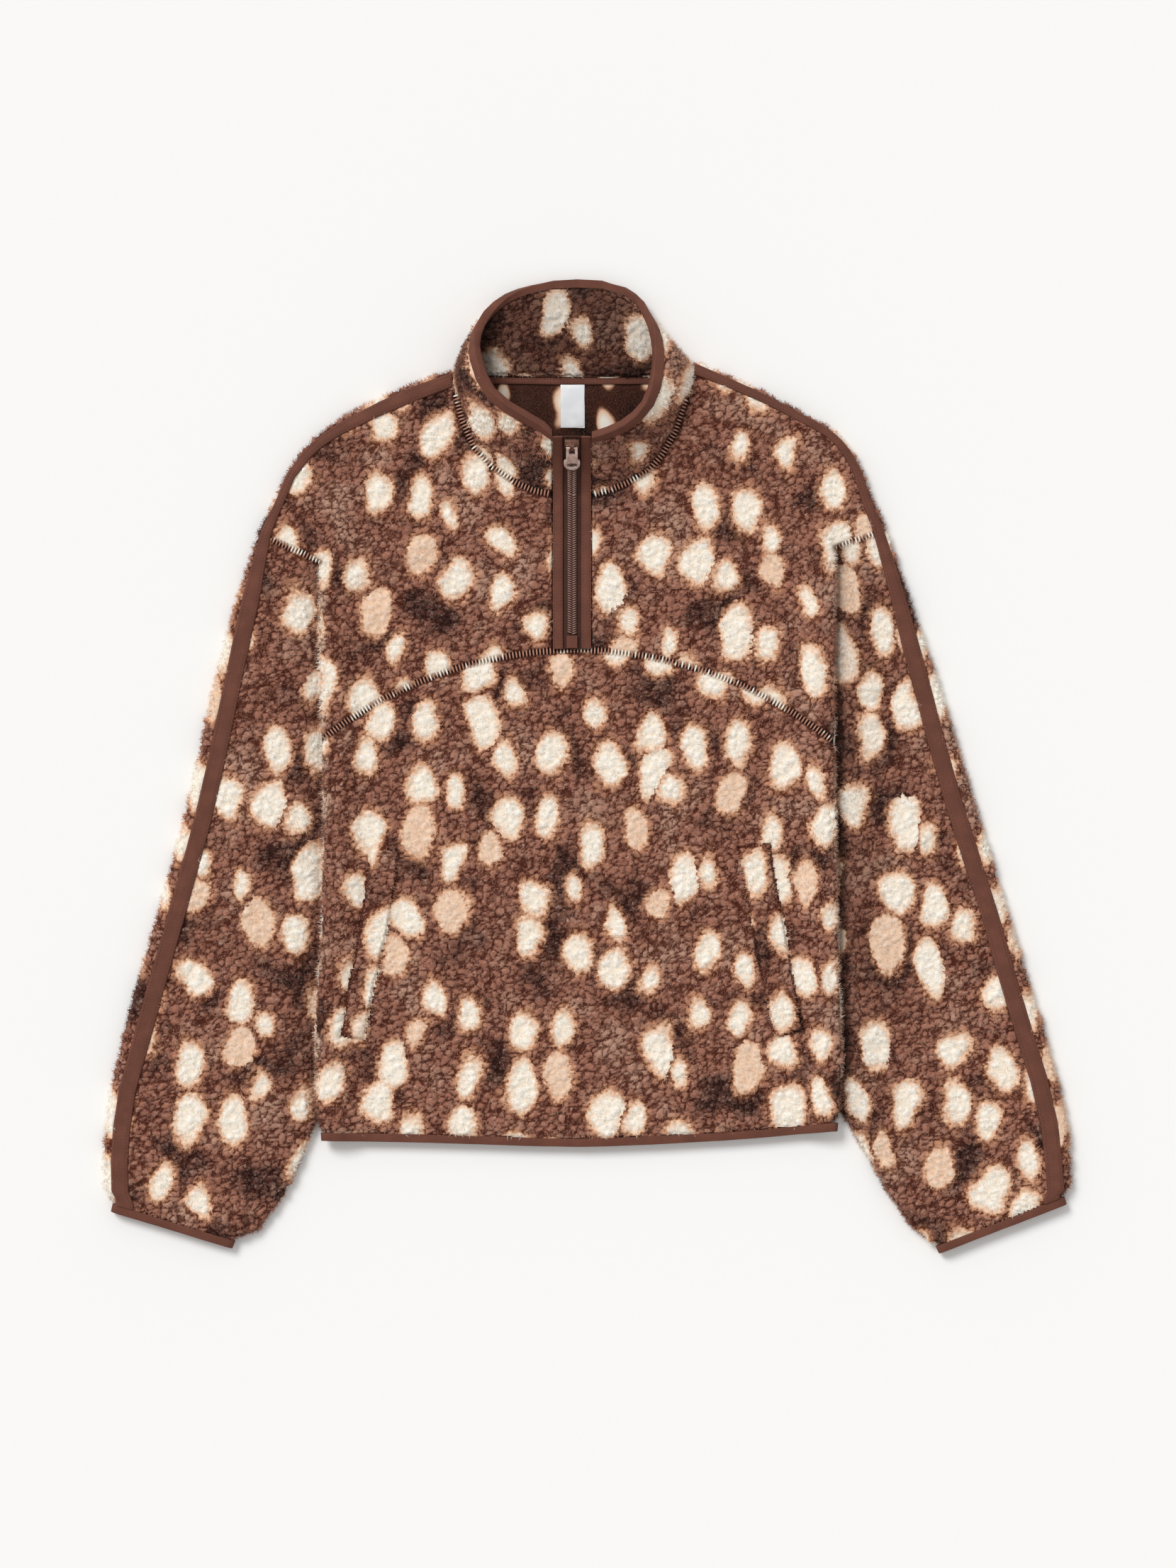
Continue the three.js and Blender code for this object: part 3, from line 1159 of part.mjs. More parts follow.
// Slider with the bridge that its pull tab hangs from
function slider() {
  const { length, half, top, sink } = SLIDER;
  const body = plate(outline([
    [0, -sink], [length, -sink], [length, top - 0.8], [length - 1.5, top], [1.5, top], [0, top - 0.8],
  ]), half * 2);
  const { start, finish, top: high, wall } = BRIDGE;
  const arch = outline([
    [start, top - 0.4], [finish, top - 0.4], [finish, high - 1], [finish - 1, high],
    [start + 1, high], [start, high - 1],
  ]);
  arch.holes.push(new THREE.Path([
    [start + wall, top], [start + wall, high - wall], [finish - wall, high - wall], [finish - wall, top],
  ].map(([x, y]) => new THREE.Vector2(x, y))));
  const joined = solid(body).add(solid(plate(arch, BRIDGE.half * 2)));
  const mesh = addMesh('slider', fromSolid(joined), METAL, 0.35, 0.9);
  mesh.applyMatrix4(sliderFrame());
}

// Pull tab: a bar under the bridge, two prongs, a blank body and a ring with an oval hole
function pullTab() {
  const hingeHeight = (SLIDER.top + BRIDGE.top - BRIDGE.wall) / 2;
  const hinge = new THREE.Vector3(BRIDGE.start + TAB.hinge, hingeHeight, 0).applyMatrix4(sliderFrame());
  const tip = new THREE.Vector3(...onZip(ZIP_X, SLIDER_START - TAB.reach, -TAB.tipHeight));
  const shape = outline([
    [0.65, -4.4], [0.65, 4.4], [-6.5, 4.5], [-13.5, 4.5], [-14.8, 6.2], [-17.5, 6.4], [-21, 6],
    [-24, 4.2], [-25.4, 1.6], [-25.4, -1.6], [-24, -4.2], [-21, -6], [-17.5, -6.4], [-14.8, -6.2],
    [-13.5, -4.5], [-6.5, -4.5],
  ]);
  const slot = [[-0.65, -2.3], [-6.8, -2.3], [-6.8, 2.3], [-0.65, 2.3]];
  shape.holes.push(new THREE.Path(slot.map(([x, y]) => new THREE.Vector2(x, y))));
  const eye = new THREE.Path();
  eye.absellipse(-19.8, 0, 2.3, 4.2, 0, Math.PI * 2, true);
  shape.holes.push(eye);
  const geometry = plate(shape, TAB.thick);
  const up = hinge.clone().sub(tip).normalize();
  const across = new THREE.Vector3(1, 0, 0);
  const mesh = addMesh('pull_tab', geometry, METAL, 0.35, 0.9);
  mesh.applyMatrix4(new THREE.Matrix4().makeBasis(up, across, up.clone().cross(across)).setPosition(hinge));
}

lowerFront();
backBody();
for (const side of SIDES) {
  yoke(side);
  sleeve(side);
  cuffBinding(side);
  pocket(side);
}
hemBinding();
collar();
neckTrim();
zip();
slider();
pullTab();

export default group;
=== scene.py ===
import math

import bmesh
import bpy
import numpy as np
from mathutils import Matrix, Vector
from mathutils.bvhtree import BVHTree


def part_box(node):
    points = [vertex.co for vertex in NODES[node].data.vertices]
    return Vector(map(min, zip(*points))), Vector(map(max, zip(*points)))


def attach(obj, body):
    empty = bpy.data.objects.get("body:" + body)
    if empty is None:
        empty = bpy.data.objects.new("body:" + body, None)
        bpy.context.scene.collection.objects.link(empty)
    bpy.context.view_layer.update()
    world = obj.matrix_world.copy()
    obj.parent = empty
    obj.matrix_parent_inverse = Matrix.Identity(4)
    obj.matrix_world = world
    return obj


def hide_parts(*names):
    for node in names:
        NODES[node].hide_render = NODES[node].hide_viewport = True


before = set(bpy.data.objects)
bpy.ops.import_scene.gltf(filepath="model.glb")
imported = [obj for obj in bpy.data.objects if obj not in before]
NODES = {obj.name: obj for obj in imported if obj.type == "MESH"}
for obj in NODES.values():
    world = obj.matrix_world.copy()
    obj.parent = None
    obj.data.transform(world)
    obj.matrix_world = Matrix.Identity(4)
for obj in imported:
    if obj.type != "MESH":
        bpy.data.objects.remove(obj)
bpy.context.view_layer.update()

# A sherpa fleece pullover laid flat on its back, seen straight down. Metres, in the CAD frame:
# +X to the viewer's right, +Y up the body to the collar, +Z up from the table.

MM = 0.001
rng = np.random.default_rng(7)

# Camera
PICTURE_TALL = 1.2387          # height of the picture on the table
CAMERA_CENTRE = (0.0011, -0.009)
CAMERA_HEIGHT = 4.0
SENSOR = 36.0

# Fleece
VOXEL = 1.45 * MM
NUB_SIZE = 5.0 * MM            # spacing of the curls of the pile
NUB_DEPTH = 2.0 * MM
CLUMP_SIZE = 13 * MM
CLUMP_DEPTH = 0.8 * MM
BROAD_SIZE = 45 * MM
BROAD_DEPTH = 0.6 * MM
UNDERSIDE = 1.6 * MM           # the cloth below this height lies on the table
BLOCKED = 3.2 * MM             # cloth with something this close before it on every side doesn't show
FINE_SIZE = 2.8 * MM           # small unevenness of the pile
FINE_DEPTH = 0.5 * MM
STIRRED = 2.3 * MM             # the curls are pushed about by this much
STIRRED_SIZE = 6 * MM
CURL_STRETCH = (0.8, 1.15, 1.0)  # the curls are wider than they are long
EVENINGS = 7                   # steps that even the skin out before the pile is raised
FIBRES = 50000
FIBRE_LENGTH = (2.5 * MM, 5.0 * MM)
FIBRE_WIDTH = 0.4 * MM
COVERED = (0.9 * MM, 1.9 * MM)  # cloth this near to a binding is covered by it, and clear of it beyond
PRESSED_IN = 0.3 * MM
TAPE_FULLER = 1.1 * MM         # the sleeve tape swells by this much, so that the pile leaves it free
STITCH_PITCH = 2.6 * MM

# Zip and seams, as in the CAD
ZIP_X = -11.5 * MM
TOOTH_PITCH = 1.78 * MM
ARCH = {"x": -8 * MM, "y": -223.7 * MM, "radius": 320 * MM}
BODY_SIDE = {"left": -209.8 * MM, "right": 195.4 * MM}
ARMHOLES = {
    "left": ((-209.5, 165.8), (-247.5, 183.6)),
    "right": ((195.5, 177.5), (226.5, 187.8)),
}
NECK_SEAMS = {
    "left": [
        (-29, 219.6), (-41, 221.8), (-55.5, 228), (-74.3, 240.8), (-88.8, 256.5), (-98.3, 277.8), (-103.3, 298),
    ],
    "right": [(5.5, 219.6), (18.8, 222.9), (31, 227.6), (48.4, 236.9), (60, 251), (70, 268.5), (79, 294)],
}
BAND_HALF = 2.9 * MM           # half the width of a flat seam's stitches
BAND_PITCH = 2.7 * MM
SEAM_CLEAR = 2.6 * MM          # the pile parts this far to each side of a flat seam
SEAM_DEPTH = 0.8 * MM
OPENING_GROOVE = (2.6 * MM, 1.7 * MM)  # depth and half width of the groove at a pocket's mouth
WELT_GROOVE = (1.8 * MM, 1.1 * MM)     # and along the welt's other edges

# The smooth face that shows inside the neck
LINED_HALF = 92 * MM
LINED_FROM = 205 * MM
LINED_CUT = 5.1                # where it was cut from the printed cloth
LINED_LESS = 0.13              # its spots are smaller by this share of their spacing

# Painted shade: 0 is none and 1 the deepest
SEAM_SHADE = 0.9               # painted shade on the ground between a flat seam's stitches
SIDE_SHADE = {"left": 0.3, "right": 0.97}  # the body's side edge shades the sleeve under it
SIDE_NEAR = (6 * MM, 11 * MM)  # close to the body the shade is dense, and ends here
SIDE_FAR = 22 * MM             # and a faint shade reaches on by this much
EDGE_HIGHLIGHT = {"left": 0.85, "right": 0.3}   # painted highlight: how pale the body's side edge is painted where it catches the light
EDGE_WIDE = 4 * MM
COLLAR_SHADE = 0.64            # the inside of the collar lies in shade, deeper at its left
COLLAR_DEEP = 0.95
COLLAR_LEFT = (-58 * MM, -84 * MM)

FLEECE_NODES = [
    "front_body", "back_body", "front_yoke_left", "front_yoke_right", "sleeve_front_left",
    "sleeve_front_right", "sleeve_back_left", "sleeve_back_right", "collar_outer", "collar_inner",
    "pocket_welt_left", "pocket_welt_right",
]
TRIM_NODES = [
    "shoulder_tape_left", "shoulder_tape_right", "cuff_binding_left", "cuff_binding_right",
    "hem_binding", "collar_binding", "neck_tape", "zip_facing_left", "zip_facing_right",
]


def smooth(t):
    u = np.clip(t, 0, 1)
    return u * u * (3 - 2 * u)


def mix(a, b, t):
    return a + (b - a) * t


def linear(code):
    """A colour written as on a screen, as the values a shader takes."""
    parts = [int(code[k:k + 2], 16) / 255 for k in (1, 3, 5)]
    return [c / 12.92 if c <= 0.04045 else ((c + 0.055) / 1.055) ** 2.4 for c in parts] + [1.0]


# Meshes

def welded(name):
    """A CAD node's mesh with the vertices of its neighbouring faces joined."""
    bm = bmesh.new()
    bm.from_mesh(NODES[name].data)
    bmesh.ops.remove_doubles(bm, verts=bm.verts, dist=0.02 * MM)
    mesh = bpy.data.meshes.new(f"{name}_welded")
    bm.to_mesh(mesh)
    bm.free()
    return mesh


def points_of(mesh):
    values = np.empty(len(mesh.vertices) * 3)
    mesh.vertices.foreach_get("co", values)
    return values.reshape(-1, 3)


def make_object(name, points, faces, material):
    mesh = bpy.data.meshes.new(name)
    mesh.from_pydata(np.asarray(points).tolist(), [], [list(map(int, face)) for face in faces])
    mesh.polygons.foreach_set("use_smooth", [True] * len(mesh.polygons))
    mesh.materials.append(material)
    mesh.update()
    obj = bpy.data.objects.new(name, mesh)
    bpy.context.scene.collection.objects.link(obj)
    return obj


def store(obj, name, values, kind="FLOAT"):
    attribute = obj.data.attributes.new(name, kind, "POINT")
    field = "vector" if kind == "FLOAT_VECTOR" else "value"
    attribute.data.foreach_set(field, np.asarray(values, np.float32).ravel())


def evaluated_mesh(obj):
    graph = bpy.context.evaluated_depsgraph_get()
    return bpy.data.meshes.new_from_object(obj.evaluated_get(graph))


def tree_of(points, faces):
    return BVHTree.FromPolygons(points.tolist(), [list(map(int, face)) for face in faces])


def face_normals(points, quads):
    normals = np.cross(points[quads[:, 2]] - points[quads[:, 0]], points[quads[:, 3]] - points[quads[:, 1]])
    return normals / np.maximum(np.linalg.norm(normals, axis=1, keepdims=True), 1e-12)


def point_normals(points, quads):
    flat = np.cross(points[quads[:, 2]] - points[quads[:, 0]], points[quads[:, 3]] - points[quads[:, 1]])
    total = np.zeros_like(points)
    for corner in range(4):
        for axis in range(3):
            total[:, axis] += np.bincount(quads[:, corner], flat[:, axis], len(points))
    return total / np.maximum(np.linalg.norm(total, axis=1, keepdims=True), 1e-12)


def relax(points, quads, steps):
    """Evens the surface out by moving each point towards the middle of its neighbours."""
    a = quads.ravel()
    b = np.roll(quads, -1, axis=1).ravel()
    count = np.maximum(np.bincount(a, minlength=len(points)) + np.bincount(b, minlength=len(points)), 1)
    for _ in range(steps):
        middle = np.empty_like(points)
        for axis in range(3):
            middle[:, axis] = (
                np.bincount(a, points[b, axis], len(points)) + np.bincount(b, points[a, axis], len(points))
            ) / count
        points = mix(points, middle, 0.5)
    return points


def rim_lines(name, longer_than):
    """The long upper edges of a strip, each an ordered run of points."""
    bm = bmesh.new()
    bm.from_mesh(welded(name))
    bm.normal_update()
    rim = {}
    for edge in bm.edges:
        if len(edge.link_faces) != 2:
            continue
        first, second = (face.normal.z > 0.12 for face in edge.link_faces)
        if first != second:
            a, b = edge.verts
            rim.setdefault(a.index, []).append(b.index)
            rim.setdefault(b.index, []).append(a.index)
    bm.verts.ensure_lookup_table()
    place = {index: np.array(bm.verts[index].co) for index in rim}
    bm.free()

    def corner(index):
        if len(rim[index]) != 2:
            return True
        a, b = (place[n] - place[index] for n in rim[index])
        return a @ b > -0.7 * np.linalg.norm(a) * np.linalg.norm(b)

    lines, seen = [], set()
    for index in rim:
        if not corner(index):
            continue
        for neighbour in rim[index]:
            run, before, here = [index], index, neighbour
            while True:
                run.append(here)
                if corner(here):
                    break
                step = [n for n in rim[here] if n != before]
                before, here = here, step[0]
            key = frozenset((run[0], run[-1], len(run)))
            points = np.array([place[n] for n in run])
            if key not in seen and np.linalg.norm(np.diff(points, axis=0), axis=1).sum() > longer_than:
                seen.add(key)
                lines.append(points)
    return lines


# Unevenness

TABLE = 32
CELLS = rng.random((TABLE, TABLE, TABLE, 3))
LATTICE = rng.random((TABLE, TABLE, TABLE)) * 2 - 1


def curls(points, size):
    """Rounded lumps round many scattered points, 1 at their tops and 0 in the hollows between them."""
    scaled = points / size
    cell = np.floor(scaled).astype(int)
    best = np.full(len(points), 9.0)
    second = np.full(len(points), 9.0)
    for shift in np.ndindex(3, 3, 3):
        at = cell + shift - 1
        place = at + CELLS[tuple((at % TABLE).T)]
        distance = ((scaled - place) ** 2).sum(axis=1)
        second = np.minimum(second, np.maximum(distance, best))
        best = np.minimum(best, distance)
    best, second = np.sqrt(best), np.sqrt(second)
    dome = np.sqrt(np.clip(1 - (best / 1.15) ** 2, 0, 1))
    return dome * smooth((second - best + 0.08) / 0.6)


def swell(points, size, offset=0):
    """Smooth random unevenness between -1 and 1."""
    scaled = points / size + offset
    cell = np.floor(scaled).astype(int)
    part = smooth(scaled - cell)
    total = np.zeros(len(points))
    for corner in np.ndindex(2, 2, 2):
        weight = np.prod(np.where(np.array(corner) == 1, part, 1 - part), axis=1)
        total += weight * LATTICE[tuple(((cell + corner) % TABLE).T)]
    return total


# Materials

class Paint:
    """A procedural material while its nodes are being joined."""

    def __init__(self, name, roughness, metallic=0.0, specular=0.3):
        self.material = bpy.data.materials.new(name)
        self.material.use_nodes = True
        self.tree = self.material.node_tree
        self.shader = self.tree.nodes["Principled BSDF"]
        self.shader.inputs["Roughness"].default_value = roughness
        self.shader.inputs["Metallic"].default_value = metallic
        self.shader.inputs["Specular IOR Level"].default_value = specular

    def put(self, socket, value):
        if isinstance(value, bpy.types.NodeSocket):
            self.tree.links.new(value, socket)
        else:
            socket.default_value = value

    def node(self, kind, inputs, **settings):
        made = self.tree.nodes.new(kind)
        for key, value in settings.items():
            setattr(made, key, value)
        for key, value in inputs.items():
            self.put(made.inputs[key], value)
        return made

    def math(self, operation, *values):
        return self.node("ShaderNodeMath", dict(enumerate(values)), operation=operation).outputs[0]

    def vector(self, operation, *values):
        return self.node("ShaderNodeVectorMath", dict(enumerate(values)), operation=operation).outputs[0]

    def scaled(self, vector, amount):
        return self.node("ShaderNodeVectorMath", {0: vector, "Scale": amount}, operation="SCALE").outputs[0]

    def blend(self, amount, a, b, blend_type="MIX"):
        made = self.node("ShaderNodeMix", {0: amount, 6: a, 7: b}, data_type="RGBA", blend_type=blend_type)
        return made.outputs[2]

    def step(self, value, low, high):
        """0 at low to 1 at high, smoothly."""
        inputs = {"Value": value, "From Min": low, "From Max": high}
        return self.node("ShaderNodeMapRange", inputs, interpolation_type="SMOOTHSTEP").outputs[0]

    def noise(self, vector, scale, detail=2.0, output=0):
        inputs = {"Vector": vector, "Scale": scale, "Detail": detail}
        return self.node("ShaderNodeTexNoise", inputs).outputs[output]

    def flat_cells(self, vector, randomness):
        inputs = {"Vector": vector, "Scale": 1.0, "Randomness": randomness}
        return self.node("ShaderNodeTexVoronoi", inputs, voronoi_dimensions="2D")

    def attribute(self, name, output):
        return self.node("ShaderNodeAttribute", {}, attribute_name=name).outputs[output]

    def place(self):
        return self.node("ShaderNodeTexCoord", {}).outputs["Object"]

    def bump(self, height, distance, strength=1.0):
        inputs = {"Height": height, "Distance": distance, "Strength": strength}
        self.put(self.shader.inputs["Normal"], self.node("ShaderNodeBump", inputs).outputs[0])

    def colour(self, value):
        self.put(self.shader.inputs["Base Color"], value)


BROWN = linear("#a56e59")
DARK_BROWN = linear("#4f2c23")
LIGHT_BROWN = linear("#c49a84")
CREAM = linear("#fbf4e8")
PEACH = linear("#f0d3bb")
WARM_EDGE = linear("#f3c4a0")
RIM = linear("#d0946f")
PILE_HOLLOW_SHADE = linear("#7d5c50")    # painted shade in the hollows between the curls, on the ground and on the spots
SPOT_HOLLOW_SHADE = linear("#fbf3ea")
SHADOW = linear("#4d3833")
KNIT_DARK = linear("#54403b")

SPOT_STEP = (0.0345, 0.0525)   # spacing of the spots across and along the cloth
SPOT_TURN = 0.2                # the rows of spots lean by this angle
SPOT_LEAST = 0.225             # radius of the smallest spot, in spacings
SPOT_SPREAD = 0.19             # the largest spot is larger by this much
SPOT_ABSENT = 0.04             # share of the places with no spot
SPOT_SCATTER = 0.62
SPOT_BENT = 0.024              # how far the outlines of the spots wander
FLEECE_RAGGED = 0.009
KNIT_RAGGED = 0.001


def spot_layer(paint, print_at):
    """Scattered fawn spots: how far inside a spot a point is, in spacings, and the spot's own chance."""
    per_spot = (1 / SPOT_STEP[0], 1 / SPOT_STEP[1], 1)
    inputs = {"Vector": print_at, "Rotation": (0, 0, SPOT_TURN), "Scale": per_spot}
    turned = paint.node("ShaderNodeMapping", inputs).outputs[0]
    found = paint.flat_cells(turned, SPOT_SCATTER)
    chance = paint.node("ShaderNodeSeparateColor", {0: found.outputs["Color"]})
    size = paint.math("MULTIPLY_ADD", chance.outputs[0], SPOT_SPREAD, SPOT_LEAST)
    kept = paint.math("MULTIPLY_ADD", paint.math("LESS_THAN", chance.outputs[2], SPOT_ABSENT), -1.0, size)
    return paint.math("SUBTRACT", kept, found.outputs["Distance"]), chance.outputs[1]


def print_colours(paint, ragged, less=0.0):
    """The fawn print: the cloth's colour at a point, and how much of it is spot.

    The outlines of the spots are ragged by this much, and the spots smaller by less.
    """
    print_at = paint.attribute("print", "Vector")
    wide = paint.vector("SUBTRACT", paint.noise(print_at, 26, 1.0, 1), (0.5, 0.5, 0.5))
    fine = paint.vector("SUBTRACT", paint.noise(print_at, 330, 2.0, 1), (0.5, 0.5, 0.5))
    bent = paint.vector("ADD", print_at, paint.scaled(wide, SPOT_BENT))
    bent = paint.vector("ADD", bent, paint.scaled(fine, ragged))
    deep, kind = spot_layer(paint, bent)
    if less:
        deep = paint.math("SUBTRACT", deep, less)
    spot = paint.step(deep, -0.03, 0.055)
    halo = paint.step(deep, -0.14, 0.0)
    warmth = paint.step(deep, 0.0, 0.085)
    pale = paint.step(deep, 0.05, 0.16)
    all_peach = paint.step(kind, 0.84, 0.86)
    patches = paint.noise(print_at, 19, 3.0)
    mottle = paint.noise(print_at, 55, 4.0)
    ground = paint.blend(paint.math("MULTIPLY", paint.step(patches, 0.5, 0.34), 0.95), BROWN, DARK_BROWN)
    ground = paint.blend(paint.math("MULTIPLY", paint.step(patches, 0.52, 0.68), 0.8), ground, LIGHT_BROWN)
    ground = paint.blend(paint.math("MULTIPLY", paint.step(mottle, 0.54, 0.7), 0.4), ground, LIGHT_BROWN)
    ground = paint.blend(paint.math("MULTIPLY", halo, 0.8), ground, RIM)
    warm = paint.blend(pale, PEACH, CREAM)
    warm = paint.blend(all_peach, warm, PEACH)
    warm = paint.blend(warmth, WARM_EDGE, warm)
    return paint.blend(spot, ground, warm), spot


def fleece_material():
    paint = Paint("sherpa_fleece", 0.95, specular=0.12)
    colour, spot = print_colours(paint, FLEECE_RAGGED)
    # Painted highlight: the body's side edge turns pale peach where it catches the light
    colour = paint.blend(paint.attribute("edge", "Fac"), colour, PEACH)
    place = paint.place()
    push = paint.vector("SUBTRACT", paint.noise(place, 300, 2.0, 1), (0.5, 0.5, 0.5))
    stirred = paint.vector("ADD", place, paint.scaled(push, 3 * MM))
    pile = paint.attribute("pile", "Fac")
    # Painted shade where the pile is low: in the hollows between the curls and in the grooves
    hollow_shade = paint.blend(1.0, colour, PILE_HOLLOW_SHADE, "MULTIPLY")
    hollow_shade = paint.blend(spot, hollow_shade, paint.blend(1.0, colour, SPOT_HOLLOW_SHADE, "MULTIPLY"))
    fibre = paint.noise(stirred, 620, 3.0)
    colour = paint.blend(paint.math("MULTIPLY", paint.step(fibre, 0.5, 0.75), 0.22), colour, CREAM)
    loose = paint.math("MULTIPLY_ADD", fibre, 0.5, -0.25)
    colour = paint.blend(paint.step(paint.math("ADD", pile, loose), 0.62, 0.08), colour, hollow_shade)
    shadow = paint.blend(1.0, colour, SHADOW, "MULTIPLY")
    shade = paint.attribute("shade", "Fac")
    shaded = paint.math("MULTIPLY", shade, paint.math("MULTIPLY_ADD", spot, -0.55, 1.0))
    shaded = paint.math("MAXIMUM", shaded, paint.math("MULTIPLY", paint.step(shade, 0.7, 0.95), 0.8))
    paint.colour(paint.blend(shaded, colour, shadow))
    paint.bump(fibre, 1.6 * MM, paint.math("MULTIPLY_ADD", spot, -0.45, 0.9))
    paint.shader.inputs["Sheen Weight"].default_value = 0.05
    paint.shader.inputs["Sheen Roughness"].default_value = 0.6
    return paint.material


def knit_material():
    """The smooth inner face of the back."""
    paint = Paint("smooth_knit", 0.9, specular=0.15)
    colour, spot = print_colours(paint, KNIT_RAGGED, LINED_LESS)
    place = paint.place()
    grain = paint.noise(place, 1300, 2.0)
    plain = paint.blend(1.0, colour, KNIT_DARK, "MULTIPLY")
    plain = paint.blend(spot, plain, colour)
    lint = paint.math("MULTIPLY", paint.step(grain, 0.45, 0.7), 0.12)
    paint.colour(paint.blend(lint, plain, LIGHT_BROWN))
    paint.bump(grain, 0.3 * MM, 0.5)
    return paint.material


def seam_material():
    """Thread of the flat seams, which the print runs over."""
    paint = Paint("seam_thread", 0.6)
    _, spot = print_colours(paint, 0.0)
    paint.colour(paint.blend(spot, linear("#b5826c"), linear("#fbf1e2")))
    return paint.material


def woven_material(name, code, pitch, depth):
    """Fine ribbed cloth in one colour, a little cloudy."""
    paint = Paint(name, 0.75, specular=0.25)
    place = paint.place()
    inputs = {"Vector": place, "Scale": 1 / pitch / 3.2, "Distortion": 1.2, "Detail Scale": 2.0}
    ribs = paint.node("ShaderNodeTexWave", inputs, bands_direction="DIAGONAL").outputs["Fac"]
    grain = paint.noise(place, 1500, 2.0)
    cloud = paint.noise(place, 70, 3.0)
    base = linear(code)
    light = [min(1.0, c * 1.35) for c in base[:3]] + [1.0]
    deep = [c * 0.66 for c in base[:3]] + [1.0]
    colour = paint.blend(paint.step(cloud, 0.3, 0.75), deep, light)
    colour = paint.blend(0.6, colour, base)
    paint.colour(paint.blend(paint.math("MULTIPLY", paint.step(grain, 0.55, 0.4), 0.35), colour, deep))
    paint.bump(paint.math("ADD", paint.math("MULTIPLY", ribs, 0.6), grain), depth, 0.6)
    return paint.material


def plain_material(name, code, roughness, metallic=0.0, specular=0.4):
    paint = Paint(name, roughness, metallic, specular)
    paint.colour(linear(code))
    return paint.material


def metal_material(name, light, deep):
    """Cast metal, rubbed in places from one colour to the other."""
    paint = Paint(name, 0.26, 0.7)
    place = paint.place()
    wear = paint.noise(place, 420, 3.0)
    paint.colour(paint.blend(paint.step(wear, 0.35, 0.7), linear(light), linear(deep)))
    paint.bump(wear, 0.15 * MM, 0.3)
    return paint.material


def label_material():
    paint = Paint("label_satin", 0.34, specular=0.6)
    place = paint.place()
    sheen = paint.noise(place, 60, 2.0)
    weave = paint.noise(place, 1500, 1.0)
    paint.colour(paint.blend(paint.step(sheen, 0.35, 0.65), linear("#eef0f2"), linear("#ffffff")))
    paint.bump(weave, 0.2 * MM, 0.3)
    return paint.material


FLEECE = fleece_material()
KNIT = knit_material()
SEAM = seam_material()
TRIM = woven_material("trim", "#6e4234", 0.9 * MM, 0.35 * MM)
ZIP_CLOTH = woven_material("zip_cloth", "#4a2b22", 0.8 * MM, 0.25 * MM)
THREAD = plain_material("thread", "#4c2b22", 0.6)
COIL = plain_material("zip_coil", "#8a6658", 0.24, specular=1.0)
SLIDER_METAL = metal_material("slider_metal", "#96705f", "#6d4a3c")
TAB_METAL = metal_material("tab_metal", "#fff2ec", "#e6cabd")
LABEL = label_material()


# Fleece: one skin over all the cloth, parted again into the pieces that the maker cuts

def cloth_skin():
    """One closed skin round all the fleece nodes, in small even squares."""
    bm = bmesh.new()
    for name in FLEECE_NODES:
        bm.from_mesh(welded(name))
    mesh = bpy.data.meshes.new("cloth")
    bm.to_mesh(mesh)
    bm.free()
    obj = bpy.data.objects.new("cloth", mesh)
    bpy.context.scene.collection.objects.link(obj)
    modifier = obj.modifiers.new("skin", "REMESH")
    modifier.mode = "VOXEL"
    modifier.voxel_size = VOXEL
    skin = evaluated_mesh(obj)
    bpy.data.objects.remove(obj)
    quads = np.empty(len(skin.polygons) * 4, int)
    skin.polygons.foreach_get("vertices", quads)
    return points_of(skin), quads.reshape(-1, 4)


def solids(names):
    """The named nodes in one tree, with the place in the names of each face's node."""
    points, faces, owner = [], [], []
    count = 0
    for number, name in enumerate(names):
        mesh = welded(name)
        points.extend(points_of(mesh).tolist())
        for polygon in mesh.polygons:
            faces.append([v + count for v in polygon.vertices])
            owner.append(number)
        count += len(mesh.vertices)
    return BVHTree.FromPolygons(points, faces), np.array(owner)


def showing(tree, centres, normals):
    """Whether each place is in the open: what is close before it leaves it free at some side."""
    visible = np.ones(len(centres), bool)
    side = np.cross(normals, (0.31, 0.87, 0.38))
    side /= np.maximum(np.linalg.norm(side, axis=1, keepdims=True), 1e-9)
    other = np.cross(normals, side)
    for k in range(len(centres)):
        start = Vector(centres[k] + normals[k] * 0.7 * MM)
        if tree.ray_cast(start, Vector(normals[k]), BLOCKED)[0] is None:
            continue
        leans = (side[k], -side[k], other[k], -other[k])
        ways = [Vector(normals[k] + 1.2 * lean).normalized() for lean in leans]
        visible[k] = any(tree.ray_cast(start, way, 12 * MM)[0] is None for way in ways)
    return visible


def grow(points_count, quads, chosen, rings):
    """The chosen faces with the rings of faces round them."""
    for _ in range(rings):
        touched = np.zeros(points_count, bool)
        touched[quads[chosen].ravel()] = True
        chosen = touched[quads].any(axis=1)
    return chosen


def distance_to_line(points, line):
    """Plan distance from points to a bent line."""
    line = np.asarray(line)
    best = np.full(len(points), 9.0)
    for a, b in zip(line[:-1], line[1:]):
        run = b - a
        if not run.any():
            continue
        u = np.clip(((points[:, :2] - a) @ run) / (run @ run), 0, 1)
        best = np.minimum(best, np.linalg.norm(points[:, :2] - a - u[:, None] * run, axis=1))
    return best


def seam_lines():
    """Plan lines of the flat seams, in metres."""
    lines = {}
    for side in ("left", "right"):
        lines[f"neck_{side}"] = np.array(NECK_SEAMS[side]) * MM
        lines[f"armhole_{side}"] = np.array(ARMHOLES[side]) * MM
    xs = np.linspace(BODY_SIDE["left"] + 2 * MM, BODY_SIDE["right"] - 2 * MM, 60)
    ys = ARCH["y"] + np.sqrt(ARCH["radius"] ** 2 - (xs - ARCH["x"]) ** 2)
    lines["arch"] = np.column_stack([xs, ys])
    return lines
